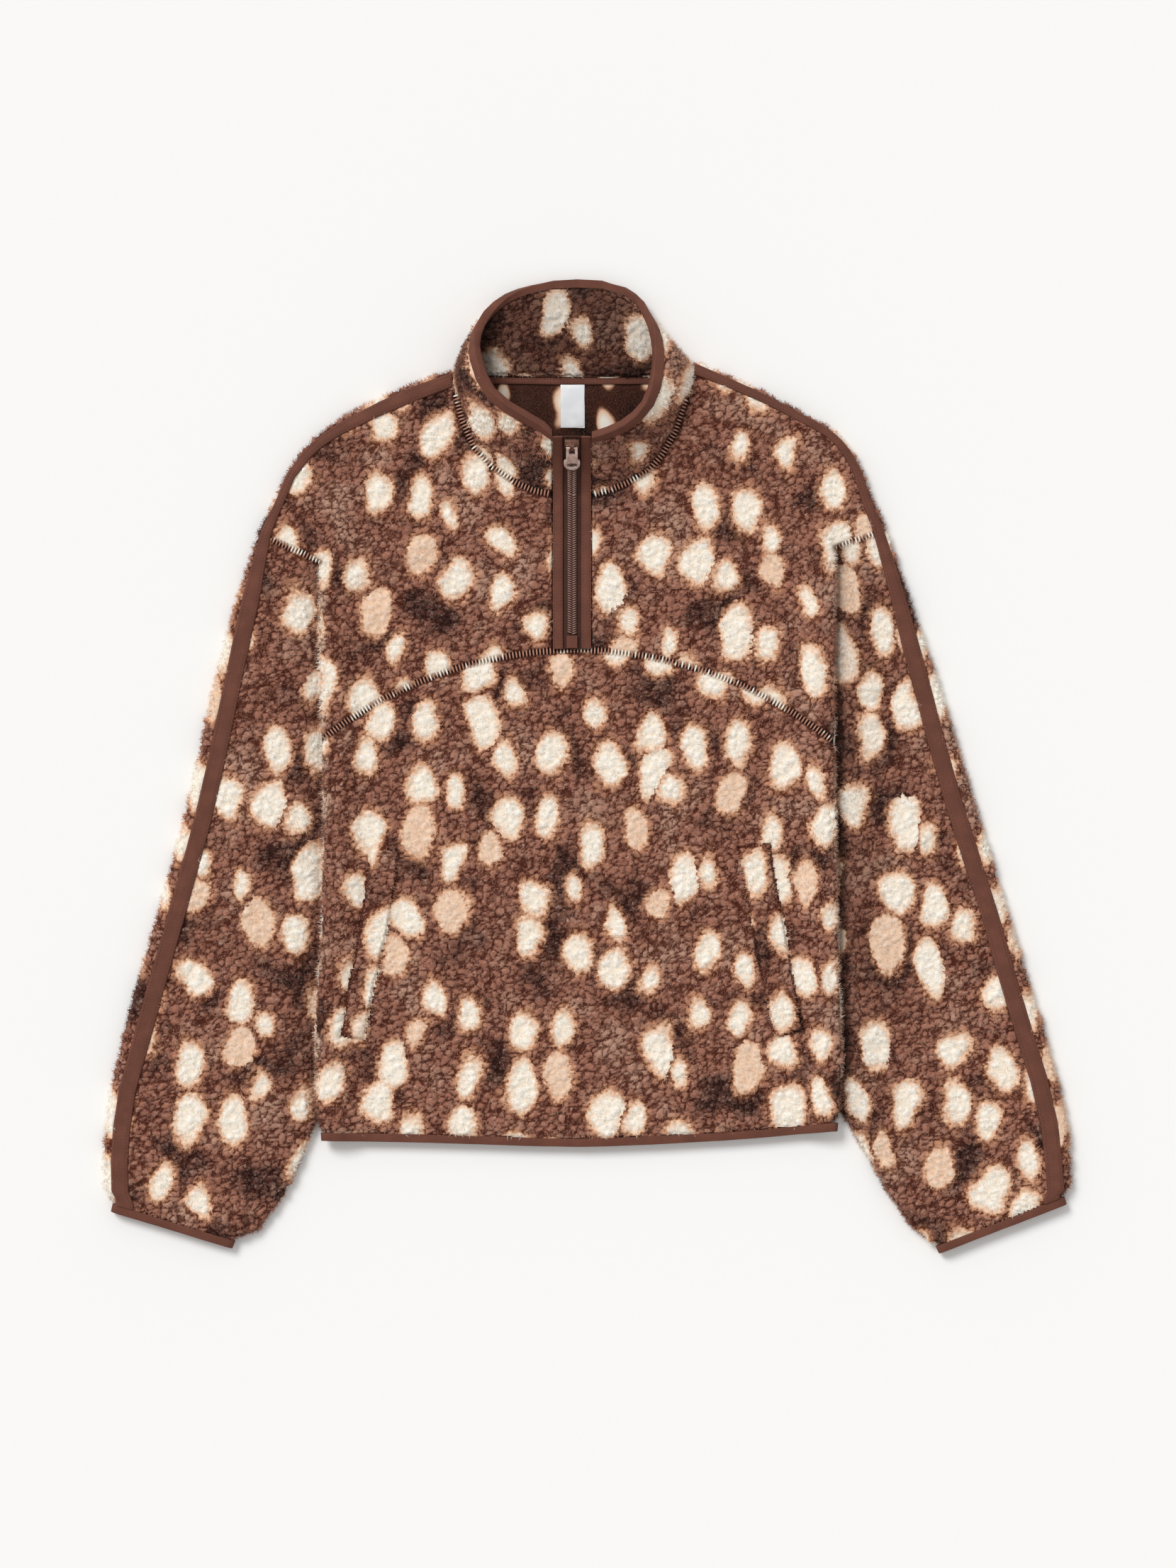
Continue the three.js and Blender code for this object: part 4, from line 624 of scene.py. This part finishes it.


# Soft creases: start and end in millimetres, depth, half width
CREASES = [
    ((-196, 128), (-120, 168), 1.6, 9),
    ((184, 140), (120, 178), 1.6, 9),
    ((-258, 60), (-214, 40), 1.8, 7),
    ((-300, -60), (-226, -92), 1.6, 8),
    ((-330, -170), (-262, -214), 1.5, 8),
    ((246, 64), (206, 48), 1.8, 7),
    ((290, -52), (224, -84), 1.6, 8),
    ((322, -160), (262, -196), 1.5, 8),
    ((-60, -190), (-40, -290), 1.2, 12),
    ((70, -180), (92, -290), 1.3, 12),
    ((-150, 40), (-138, -60), 1.0, 14),
    ((140, 30), (128, -40), 1.0, 14),
]


def grooves():
    """Lines where the pile is pressed in, at the welts and the flat seams: plan line, depth and half width."""
    made = []
    for side in ("left", "right"):
        for line in rim_lines(f"pocket_welt_{side}", 12 * MM):
            middle = np.mean([corner.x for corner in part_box(f"pocket_welt_{side}")])
            opening = abs(line[:, 0].mean()) > abs(middle) and len(line) > 4
            made.append((line[:, :2], *(OPENING_GROOVE if opening else WELT_GROOVE)))
    for line in seam_lines().values():
        made.append((line, SEAM_DEPTH, BAND_HALF))
    return made


def body_side(side):
    """Plan line up the body's side edge, where the edges of the front's triangles reach farthest."""
    sign = -1 if side == "left" else 1
    starts, ends = [], []
    for name in ("front_body", f"front_yoke_{side}"):
        mesh = welded(name)
        points = points_of(mesh)
        pairs = np.array([edge.vertices[:] for edge in mesh.edges])
        starts.append(points[pairs[:, 0]])
        ends.append(points[pairs[:, 1]])
    starts, ends = np.concatenate(starts), np.concatenate(ends)
    rise = ends[:, 1] - starts[:, 1]
    line = []
    for y in np.arange(starts[:, 1].min() + 1 * MM, ARMHOLES[side][0][1] * MM, 6 * MM):
        crossing = (starts[:, 1] < y) != (ends[:, 1] < y)
        share = (y - starts[crossing, 1]) / rise[crossing]
        x = starts[crossing, 0] + share * (ends[crossing, 0] - starts[crossing, 0])
        line.append((sign * (sign * x).max(), y))
    return np.array(line)


def under_trim(points):
    """How far each point lies under a binding, tape or facing: 1 where one covers it, 0 clear of them."""
    tree, _ = solids(TRIM_NODES)
    near = np.full(len(points), COVERED[1])
    for k, point in enumerate(points):
        found = tree.find_nearest(Vector(point), COVERED[1])
        if found[0] is not None:
            near[k] = found[3]
    return 1 - smooth((near - COVERED[0]) / (COVERED[1] - COVERED[0]))


def painted_shade_and_highlight(points, owner_of_point):
    """How deep each point lies in painted shade, beside the body, in the collar or along a seam, and how strong
    its painted highlight is.
    """
    shade = np.zeros(len(points))
    edge = np.zeros(len(points))
    for side, most in SIDE_SHADE.items():
        panels = [FLEECE_NODES.index(f"sleeve_{face}_{side}") for face in ("front", "back")]
        on_sleeve = np.isin(owner_of_point, panels)
        near = distance_to_line(points, body_side(side))
        dense = 1 - smooth((near - SIDE_NEAR[0]) / (SIDE_NEAR[1] - SIDE_NEAR[0]))
        falls = most * (0.42 * dense + 0.55 * np.exp(-near / SIDE_FAR))
        shade = np.maximum(shade, np.where(on_sleeve & (points[:, 2] > 2.5 * MM), falls, 0))
        # A patchy painted highlight along the body's own side edge, where it catches the light
        patchy = smooth(0.2 + 2.2 * swell(points, 16 * MM, 1.4))
        edge_highlight = EDGE_HIGHLIGHT[side] * patchy * np.exp(-((near / EDGE_WIDE) ** 2))
        edge = np.maximum(edge, np.where(~on_sleeve & (points[:, 2] > 4 * MM), edge_highlight, 0))
    inside = owner_of_point == FLEECE_NODES.index("collar_inner")
    left = smooth((points[:, 0] - COLLAR_LEFT[0]) / (COLLAR_LEFT[1] - COLLAR_LEFT[0]))
    shade = np.where(inside, mix(COLLAR_SHADE, COLLAR_DEEP, left), shade)
    # Painted shade on the ground along each flat seam, between its stitches
    for line in seam_lines().values():
        near = distance_to_line(points, line) / BAND_HALF
        ground = SEAM_SHADE * np.exp(-(near ** 4)) * (points[:, 2] > 4 * MM) * ~inside
        shade = np.maximum(shade, ground)
    return shade, edge


def shape_fleece():
    """Returns the skin's points before and after the pile is raised, its faces, owners and fields."""
    points, quads = cloth_skin()
    tree, owner = solids(FLEECE_NODES + TRIM_NODES)
    centres = points[quads].mean(axis=1)
    normals = face_normals(points, quads)
    visible = showing(tree, centres, normals)
    visible = grow(len(points), quads, visible, rings=3)
    quads, centres, normals = quads[visible], centres[visible], normals[visible]
    used, flat = np.unique(quads, return_inverse=True)
    points, quads = points[used], flat.reshape(-1, 4)
    owners = np.array([owner[tree.find_nearest(Vector(c))[2]] for c in centres])

    points = relax(points, quads, EVENINGS)
    outward = point_normals(points, quads)
    inner_back = FLEECE_NODES.index("back_body")
    lined = (owners == inner_back) & (normals[:, 2] > 0.2)
    lined &= (np.abs(centres[:, 0] - ZIP_X) < LINED_HALF) & (centres[:, 1] > LINED_FROM)
    knit = np.zeros(len(points))
    knit[quads[lined].ravel()] = 1

    fade = np.ones(len(points))
    for line in seam_lines().values():
        near = distance_to_line(points, line)
        fade = np.minimum(fade, mix(0.1, 1, smooth((near - SEAM_CLEAR) / (2.5 * MM))))
    fade = np.where(points[:, 2] < 2.5 * MM, 0.6, fade)
    covered = under_trim(points)
    fade *= 1 - covered
    stirred = points + STIRRED * np.column_stack([swell(points, STIRRED_SIZE, k * 7.3) for k in range(3)])
    stirred *= CURL_STRETCH
    nub = curls(stirred, NUB_SIZE)
    clump = curls(stirred, CLUMP_SIZE)
    steep = 1 - np.abs(outward[:, 2])
    raised = NUB_DEPTH * (nub - mix(0.6, 0.25, steep)) + CLUMP_DEPTH * (clump - mix(0.5, 0.3, steep))
    raised += BROAD_DEPTH * swell(points, BROAD_SIZE, 3.1)
    raised += FINE_DEPTH * swell(points, FINE_SIZE, 5.7)
    for start, end, depth, half in CREASES:
        near = distance_to_line(points, np.array([start, end]) * MM) / (half * MM)
        upward = np.clip(outward[:, 2], 0, 1)
        raised += depth * MM * (0.55 * np.exp(-((near - 1.5) ** 2)) - np.exp(-(near ** 2))) * upward
    raised *= fade * (1 - knit)
    raised -= PRESSED_IN * covered
    hollow = np.ones(len(points))
    for line, depth, half in grooves():
        near = distance_to_line(points, line) / half
        sunk = np.exp(-(near ** 2)) * (outward[:, 2] > 0.1) * (points[:, 2] > 5 * MM)
        raised -= depth * sunk
        hollow = np.minimum(hollow, 1 - sunk)
    owner_of_point = np.zeros(len(points), int)
    owner_of_point[quads.ravel()] = np.repeat(owners, 4)
    shade, edge = painted_shade_and_highlight(points, owner_of_point)
    moved = points + outward * raised[:, None]
    moved[:, 2] = np.maximum(moved[:, 2], 0.1 * MM)
    # Low pile is painted in shade by the fleece material: the hollows between the curls and the grooves
    pile = np.clip(nub * 0.85 + clump * 0.15, 0, 1) * hollow
    return {
        "rest": points, "points": moved, "quads": quads, "owners": owners, "lined": lined, "pile": pile,
        "normals": outward, "fade": fade * (1 - knit), "shade": shade, "edge": edge,
    }


def print_place(points, cut):
    """Where a point of the garment lies on the printed cloth. Each cut piece has a place of its own."""
    x = points[:, 0] + 0.3 * points[:, 2] + 0.337 * cut
    y = points[:, 1] + 0.8 * points[:, 2] + 0.191 * cut
    return np.column_stack([x, y, np.zeros(len(points))])


def part(skin, chosen, name, material, cut):
    """The chosen faces of the skin as a piece of their own, with fewer faces on the table."""
    used, flat = np.unique(skin["quads"][chosen], return_inverse=True)
    points = skin["points"][used]
    obj = make_object(name, points, flat.reshape(-1, 4), material)
    store(obj, "print", print_place(skin["rest"][used], cut), "FLOAT_VECTOR")
    store(obj, "pile", skin["pile"][used])
    store(obj, "shade", skin["shade"][used])
    store(obj, "edge", skin["edge"][used])
    under = np.flatnonzero(points[:, 2] < UNDERSIDE)
    if len(under) > 0.3 * len(points):
        group = obj.vertex_groups.new(name="under")
        group.add(under.tolist(), 1.0, "REPLACE")
        fewer = obj.modifiers.new("fewer", "DECIMATE")
        fewer.vertex_group = "under"
        fewer.ratio = 1 - 0.75 * len(under) / len(points)
        obj.data = evaluated_mesh(obj)
        obj.modifiers.clear()
    return obj


skin = shape_fleece()
pieces = {}
for number, node in enumerate(FLEECE_NODES):
    chosen = (skin["owners"] == number) & ~skin["lined"]
    pieces[node] = part(skin, chosen, f"{node}_fleece", FLEECE, number)
    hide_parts(node)
    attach(pieces[node], "garment")
pieces["back_lining"] = part(skin, skin["lined"], "back_inside_knit", KNIT, LINED_CUT)
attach(pieces["back_lining"], "garment")

cloth_tree = tree_of(skin["points"], skin["quads"])


# Loose fibres of the pile

def fibres(name, chosen, count):
    """Curved, tapered ribbons of three triangles each, that stand out of the chosen faces."""
    corners = skin["points"][skin["quads"][chosen]]
    area = np.linalg.norm(np.cross(corners[:, 2] - corners[:, 0], corners[:, 3] - corners[:, 1]), axis=1)
    normals = skin["normals"][skin["quads"][chosen]].mean(axis=1)
    steep = 1 + 6.0 * (1 - np.clip(normals[:, 2], 0, 1)) * (normals[:, 2] > -0.3)
    weight = area * steep * skin["fade"][skin["quads"][chosen][:, 0]] ** 2 * (normals[:, 2] > -0.5)
    picked = rng.choice(len(corners), count, p=weight / weight.sum())
    share = rng.dirichlet((1, 1, 1, 1), count)
    root = (corners[picked] * share[:, :, None]).sum(axis=1)
    normal = normals[picked]
    normal /= np.linalg.norm(normal, axis=1, keepdims=True)
    lean = rng.normal(size=(count, 3))
    lean -= (lean * normal).sum(axis=1, keepdims=True) * normal
    lean /= np.maximum(np.linalg.norm(lean, axis=1, keepdims=True), 1e-9)
    across = np.cross(normal, lean)
    length = rng.uniform(*FIBRE_LENGTH, (count, 1))
    half = across * FIBRE_WIDTH / 2
    turn = across * rng.uniform(-0.35, 0.35, (count, 1))
    middle = root + length * 0.5 * (normal * 0.62 + lean * 0.75 + turn)
    tip = root + length * (normal * 0.55 + lean * 0.85 - turn)
    base = root - normal * 0.5 * MM
    points = np.stack([base - half, base + half, middle - half * 0.8, middle + half * 0.8, tip], axis=1)
    start = np.arange(count)[:, None] * 5
    faces = np.concatenate([start + [0, 1, 3], start + [0, 3, 2], start + [2, 3, 4]])
    obj = make_object(name, points.reshape(-1, 3), faces, FLEECE)
    cuts = skin["owners"][np.flatnonzero(chosen)[picked]]
    store(obj, "print", np.repeat(print_place(root, cuts), 5, axis=0), "FLOAT_VECTOR")
    # The fibres are painted a little deeper in shade at their roots than at their tips
    store(obj, "pile", np.tile([0.5, 0.5, 0.8, 0.8, 1.0], count))
    root_points = skin["quads"][chosen][picked, 0]
    # The fibres take the painted shade and the painted highlight of the skin at their roots
    store(obj, "shade", np.repeat(skin["shade"][root_points], 5))
    store(obj, "edge", np.repeat(skin["edge"][root_points], 5))
    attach(obj, "garment")
    return obj


body_owned = np.isin(skin["owners"], [FLEECE_NODES.index(n) for n in FLEECE_NODES if "sleeve" not in n])
fibre_count = FIBRES
body_fibres = fibres("body_fibres", body_owned & ~skin["lined"], fibre_count)
sleeve_fibres = fibres("sleeve_fibres", ~body_owned, fibre_count // 2)


# Trim: tapes, bindings and facings

def trim_piece(name, material, cuts, wave, fuller=0.0):
    """A trim node's own form with finer faces, rounded edges and a slight unevenness."""
    obj = bpy.data.objects.new(f"{name}_cloth", welded(name))
    bpy.context.scene.collection.objects.link(obj)
    bevel = obj.modifiers.new("edges", "BEVEL")
    bevel.width = 0.28 * MM
    bevel.segments = 2
    bevel.angle_limit = math.radians(40)
    fine = obj.modifiers.new("faces", "SUBSURF")
    fine.subdivision_type = "SIMPLE"
    fine.levels = fine.render_levels = cuts
    mesh = evaluated_mesh(obj)
    obj.modifiers.clear()
    obj.data = mesh
    points = points_of(mesh)
    normals = np.empty(len(points) * 3)
    mesh.vertices.foreach_get("normal", normals)
    normals = normals.reshape(-1, 3)
    uneven = fuller + wave * swell(points, 16 * MM) + 0.12 * MM * swell(points, 5 * MM, 2.2)
    mesh.vertices.foreach_set("co", (points + normals * uneven[:, None]).ravel())
    mesh.polygons.foreach_set("use_smooth", [True] * len(mesh.polygons))
    mesh.set_sharp_from_angle(angle=math.radians(55))
    mesh.materials.clear()
    mesh.materials.append(material)
    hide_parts(name)
    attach(obj, "garment")
    return obj


trims = {}
for node in TRIM_NODES:
    trims[node] = trim_piece(node, TRIM, 1, 0.22 * MM, TAPE_FULLER if "shoulder" in node else 0.0)
trims["label"] = trim_piece("label", LABEL, 2, 0.35 * MM)
trims["zip_tape"] = trim_piece("zip_tape", ZIP_CLOTH, 1, 0.0)
trims["zip_stop"] = trim_piece("zip_stop", TRIM, 2, 0.1 * MM)


# Thread and zip teeth

def resample(line, pitch):
    """Evenly spaced points on a line, with the direction of the line there."""
    lengths = np.concatenate([[0], np.cumsum(np.linalg.norm(np.diff(line, axis=0), axis=1))])
    count = max(2, round(lengths[-1] / pitch))
    at = (np.arange(count) + 0.5) * lengths[-1] / count
    points = np.column_stack([np.interp(at, lengths, line[:, k]) for k in range(line.shape[1])])
    ends = np.column_stack([np.interp(at + pitch / 2, lengths, line[:, k]) for k in range(line.shape[1])])
    starts = np.column_stack([np.interp(at - pitch / 2, lengths, line[:, k]) for k in range(line.shape[1])])
    along = ends - starts
    return points, along / np.linalg.norm(along, axis=1, keepdims=True)


def rods(name, centres, along, up, length, width, height, material, rings=3):
    """Short rounded rods: each has a centre, a direction and an upward direction."""
    sides = 4 if rings == 3 else 6
    angles = np.arange(sides) * 2 * np.pi / sides
    stations = np.linspace(-1, 1, rings)
    across = np.cross(up, along)
    across /= np.linalg.norm(across, axis=1, keepdims=True)
    up = np.cross(along, across)
    shell = []
    for s in stations:
        size = math.sqrt(max(0.0, 1 - (abs(s) ** 3) * 0.86))
        sink = 0.35 * height * s * s
        for angle in angles:
            aside = math.cos(angle) * width / 2 * size
            above = math.sin(angle) * height / 2 * size - sink
            shell.append((s * length / 2, aside, above))
    shell = np.array(shell)
    points = (
        centres[:, None] + along[:, None] * shell[None, :, :1]
        + across[:, None] * shell[None, :, 1:2] + up[:, None] * shell[None, :, 2:]
    )
    block = []
    for r in range(rings - 1):
        for k in range(sides):
            a, b = r * sides + k, r * sides + (k + 1) % sides
            block.append((a, a + sides, b + sides, b))
    caps = [tuple(range(sides)), tuple(range((rings - 1) * sides, rings * sides))[::-1]]
    faces = []
    for n in range(len(centres)):
        start = n * rings * sides
        faces.extend([v + start for v in face] for face in block + caps)
    obj = make_object(name, points.reshape(-1, 3), faces, material)
    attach(obj, "garment")
    return obj


def on_piece(tree, points, lift):
    """The nearest places on a piece, raised by lift, with the surface's direction there."""
    places, ups = [], []
    for point in points:
        hit, normal, _, _ = tree.find_nearest(Vector(point))
        places.append(np.array(hit) + np.array(normal) * lift)
        ups.append(np.array(normal))
    return np.array(places), np.array(ups)


def tree_for(obj):
    mesh = obj.data
    return BVHTree.FromPolygons([v.co for v in mesh.vertices], [p.vertices for p in mesh.polygons])


def topstitch(name, node, inset, longer_than):
    """Two rows of stitches along a strip, a small way in from its edges."""
    lines = sorted(rim_lines(node, longer_than), key=lambda line: -line[:, 2].mean())[:2]
    tree = tree_for(trims[node])
    centres, directions, ups = [], [], []
    for k, line in enumerate(lines):
        points, along = resample(line, STITCH_PITCH)
        other = lines[1 - k] if len(lines) == 2 else line
        dense, _ = resample(other, 2 * MM)
        nearest = np.array([dense[np.argmin(((dense - p) ** 2).sum(axis=1))] for p in points])
        inward = nearest - points
        inward /= np.maximum(np.linalg.norm(inward, axis=1, keepdims=True), 1e-9)
        places, up = on_piece(tree, points + inward * inset, 0.05 * MM)
        keep = up[:, 2] > 0.05
        centres.append(places[keep])
        directions.append(along[keep])
        ups.append(up[keep])
    made = rods(name, np.concatenate(centres), np.concatenate(directions), np.concatenate(ups),
                STITCH_PITCH * 0.62, 0.62 * MM, 0.4 * MM, THREAD)
    return made


for side in ("left", "right"):
    topstitch(f"tape_stitches_{side}", f"shoulder_tape_{side}", 1.3 * MM, 200 * MM)
    topstitch(f"facing_stitches_{side}", f"zip_facing_{side}", 1.2 * MM, 80 * MM)
topstitch("neck_tape_stitches", "neck_tape", 0.9 * MM, 80 * MM)


def drop(x, y, default=8 * MM):
    """Height of the fleece under a plan point, its direction there and the piece's number."""
    place, normal, face, _ = cloth_tree.ray_cast(Vector((x, y, 0.2)), Vector((0, 0, -1)))
    if place is None:
        return default, np.array((0, 0, 1.0)), 0
    return place.z, np.array(normal), skin["owners"][face]


def seam_band(name, line):
    """A flat seam's bars of thread, which lie across the seam from one piece to the other."""
    points, along = resample(line, BAND_PITCH)
    across = np.column_stack([-along[:, 1], along[:, 0]])
    centres, directions, ups, cuts = [], [], [], []
    for point, run, cross in zip(points, along, across):
        low = drop(*(point - cross * BAND_HALF))
        high = drop(*(point + cross * BAND_HALF))
        middle = drop(*point)
        z = max(middle[0], (low[0] + high[0]) / 2) + 0.5 * MM
        centres.append((*point, z))
        directions.append((cross[0] * 2 * BAND_HALF, cross[1] * 2 * BAND_HALF, (high[0] - low[0]) * 0.7))
        ups.append((low[1] + high[1] + middle[1]) / 3)
        cuts.append(middle[2])
    centres, directions, ups = np.array(centres), np.array(directions), np.array(ups)
    directions /= np.linalg.norm(directions, axis=1, keepdims=True)
    bars = rods(name, centres, directions, ups, 2 * BAND_HALF, 1.35 * MM, 0.9 * MM, SEAM, rings=5)
    each = len(bars.data.vertices) // len(centres)
    store(bars, "print", print_place(points_of(bars.data), np.repeat(cuts, each)), "FLOAT_VECTOR")
    return bars


for name, line in seam_lines().items():
    seam_band(f"{name}_seam_thread", line)


def zip_path():
    """Middle line of the zip's surface, from the tape's two long edges."""
    a, b = sorted(rim_lines("zip_tape", 80 * MM), key=lambda line: line[:, 0].mean())[:2]
    if a[0, 1] > a[-1, 1]:
        a = a[::-1]
    if b[0, 1] > b[-1, 1]:
        b = b[::-1]
    line = (resample(a, 4 * MM)[0] + resample(b, 4 * MM)[0]) / 2
    line[:, 0] = ZIP_X
    return line


def zip_teeth():
    """Slanted teeth along the middle of the zip, turned to each side by turns."""
    chain_low, chain_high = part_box("zip_chain")
    points, along = resample(zip_path(), TOOTH_PITCH / 2)
    up = np.cross((1.0, 0, 0), along)
    keep = (points[:, 1] > chain_low.y + 1 * MM) & (points[:, 1] < chain_high.y)
    points, along, up = points[keep], along[keep], up[keep]
    sign = np.where(np.arange(len(points)) % 2 == 0, 1.0, -1.0)[:, None]
    across = np.array([[1.0, 0, 0]])
    direction = across * sign + along * 0.34
    direction /= np.linalg.norm(direction, axis=1, keepdims=True)
    centres = points + up * 2.15 * MM + across * sign * 1.75 * MM
    teeth = rods("zip_teeth", centres, direction, up, 4.2 * MM, 1.12 * MM, 1.5 * MM, COIL, rings=5)
    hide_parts("zip_chain")
    return teeth


teeth = zip_teeth()


def metal_piece(node, body, material):
    """A metal node's own form with rounded edges."""
    obj = bpy.data.objects.new(f"{node}_metal", welded(node))
    bpy.context.scene.collection.objects.link(obj)
    bevel = obj.modifiers.new("edges", "BEVEL")
    bevel.width = 0.4 * MM
    bevel.segments = 4
    bevel.angle_limit = math.radians(30)
    obj.data = evaluated_mesh(obj)
    obj.modifiers.clear()
    obj.data.polygons.foreach_set("use_smooth", [True] * len(obj.data.polygons))
    obj.data.set_sharp_from_angle(angle=math.radians(35))
    obj.data.materials.clear()
    obj.data.materials.append(material)
    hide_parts(node)
    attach(obj, body)
    return obj


metal_piece("slider", "garment", SLIDER_METAL)
metal_piece("pull_tab", "pull", TAB_METAL)


# Floor, light and camera

def floor():
    obj = make_object("floor", [(-6, -6, 0), (6, -6, 0), (6, 6, 0), (-6, 6, 0)], [(0, 1, 2, 3)],
                      plain_material("floor", "#fbfaf8", 0.9, specular=0.0))
    obj.location.z = -0.3 * MM


def sun():
    """Broad soft light from the upper left, even over the whole table."""
    lamp = bpy.data.lights.new("key", "SUN")
    lamp.energy = 1.9
    lamp.angle = math.radians(24)
    obj = bpy.data.objects.new("key", lamp)
    obj.rotation_euler = Vector((0.5, -0.58, -0.8)).to_track_quat("-Z", "Y").to_euler()
    bpy.context.scene.collection.objects.link(obj)


floor()
sun()
world = bpy.data.worlds.new("studio")
world.use_nodes = True
world.node_tree.nodes["Background"].inputs[0].default_value = (1, 1, 1, 1)
world.node_tree.nodes["Background"].inputs[1].default_value = 0.55
bpy.context.scene.world = world
bpy.context.scene.view_settings.view_transform = "Standard"

camera = bpy.data.cameras.new("camera")
camera.sensor_width = SENSOR
camera.lens = SENSOR * CAMERA_HEIGHT / PICTURE_TALL
camera.clip_start = 0.1
camera.clip_end = 40
camera_object = bpy.data.objects.new("camera", camera)
camera_object.location = (*CAMERA_CENTRE, CAMERA_HEIGHT)
bpy.context.scene.collection.objects.link(camera_object)
bpy.context.scene.camera = camera_object
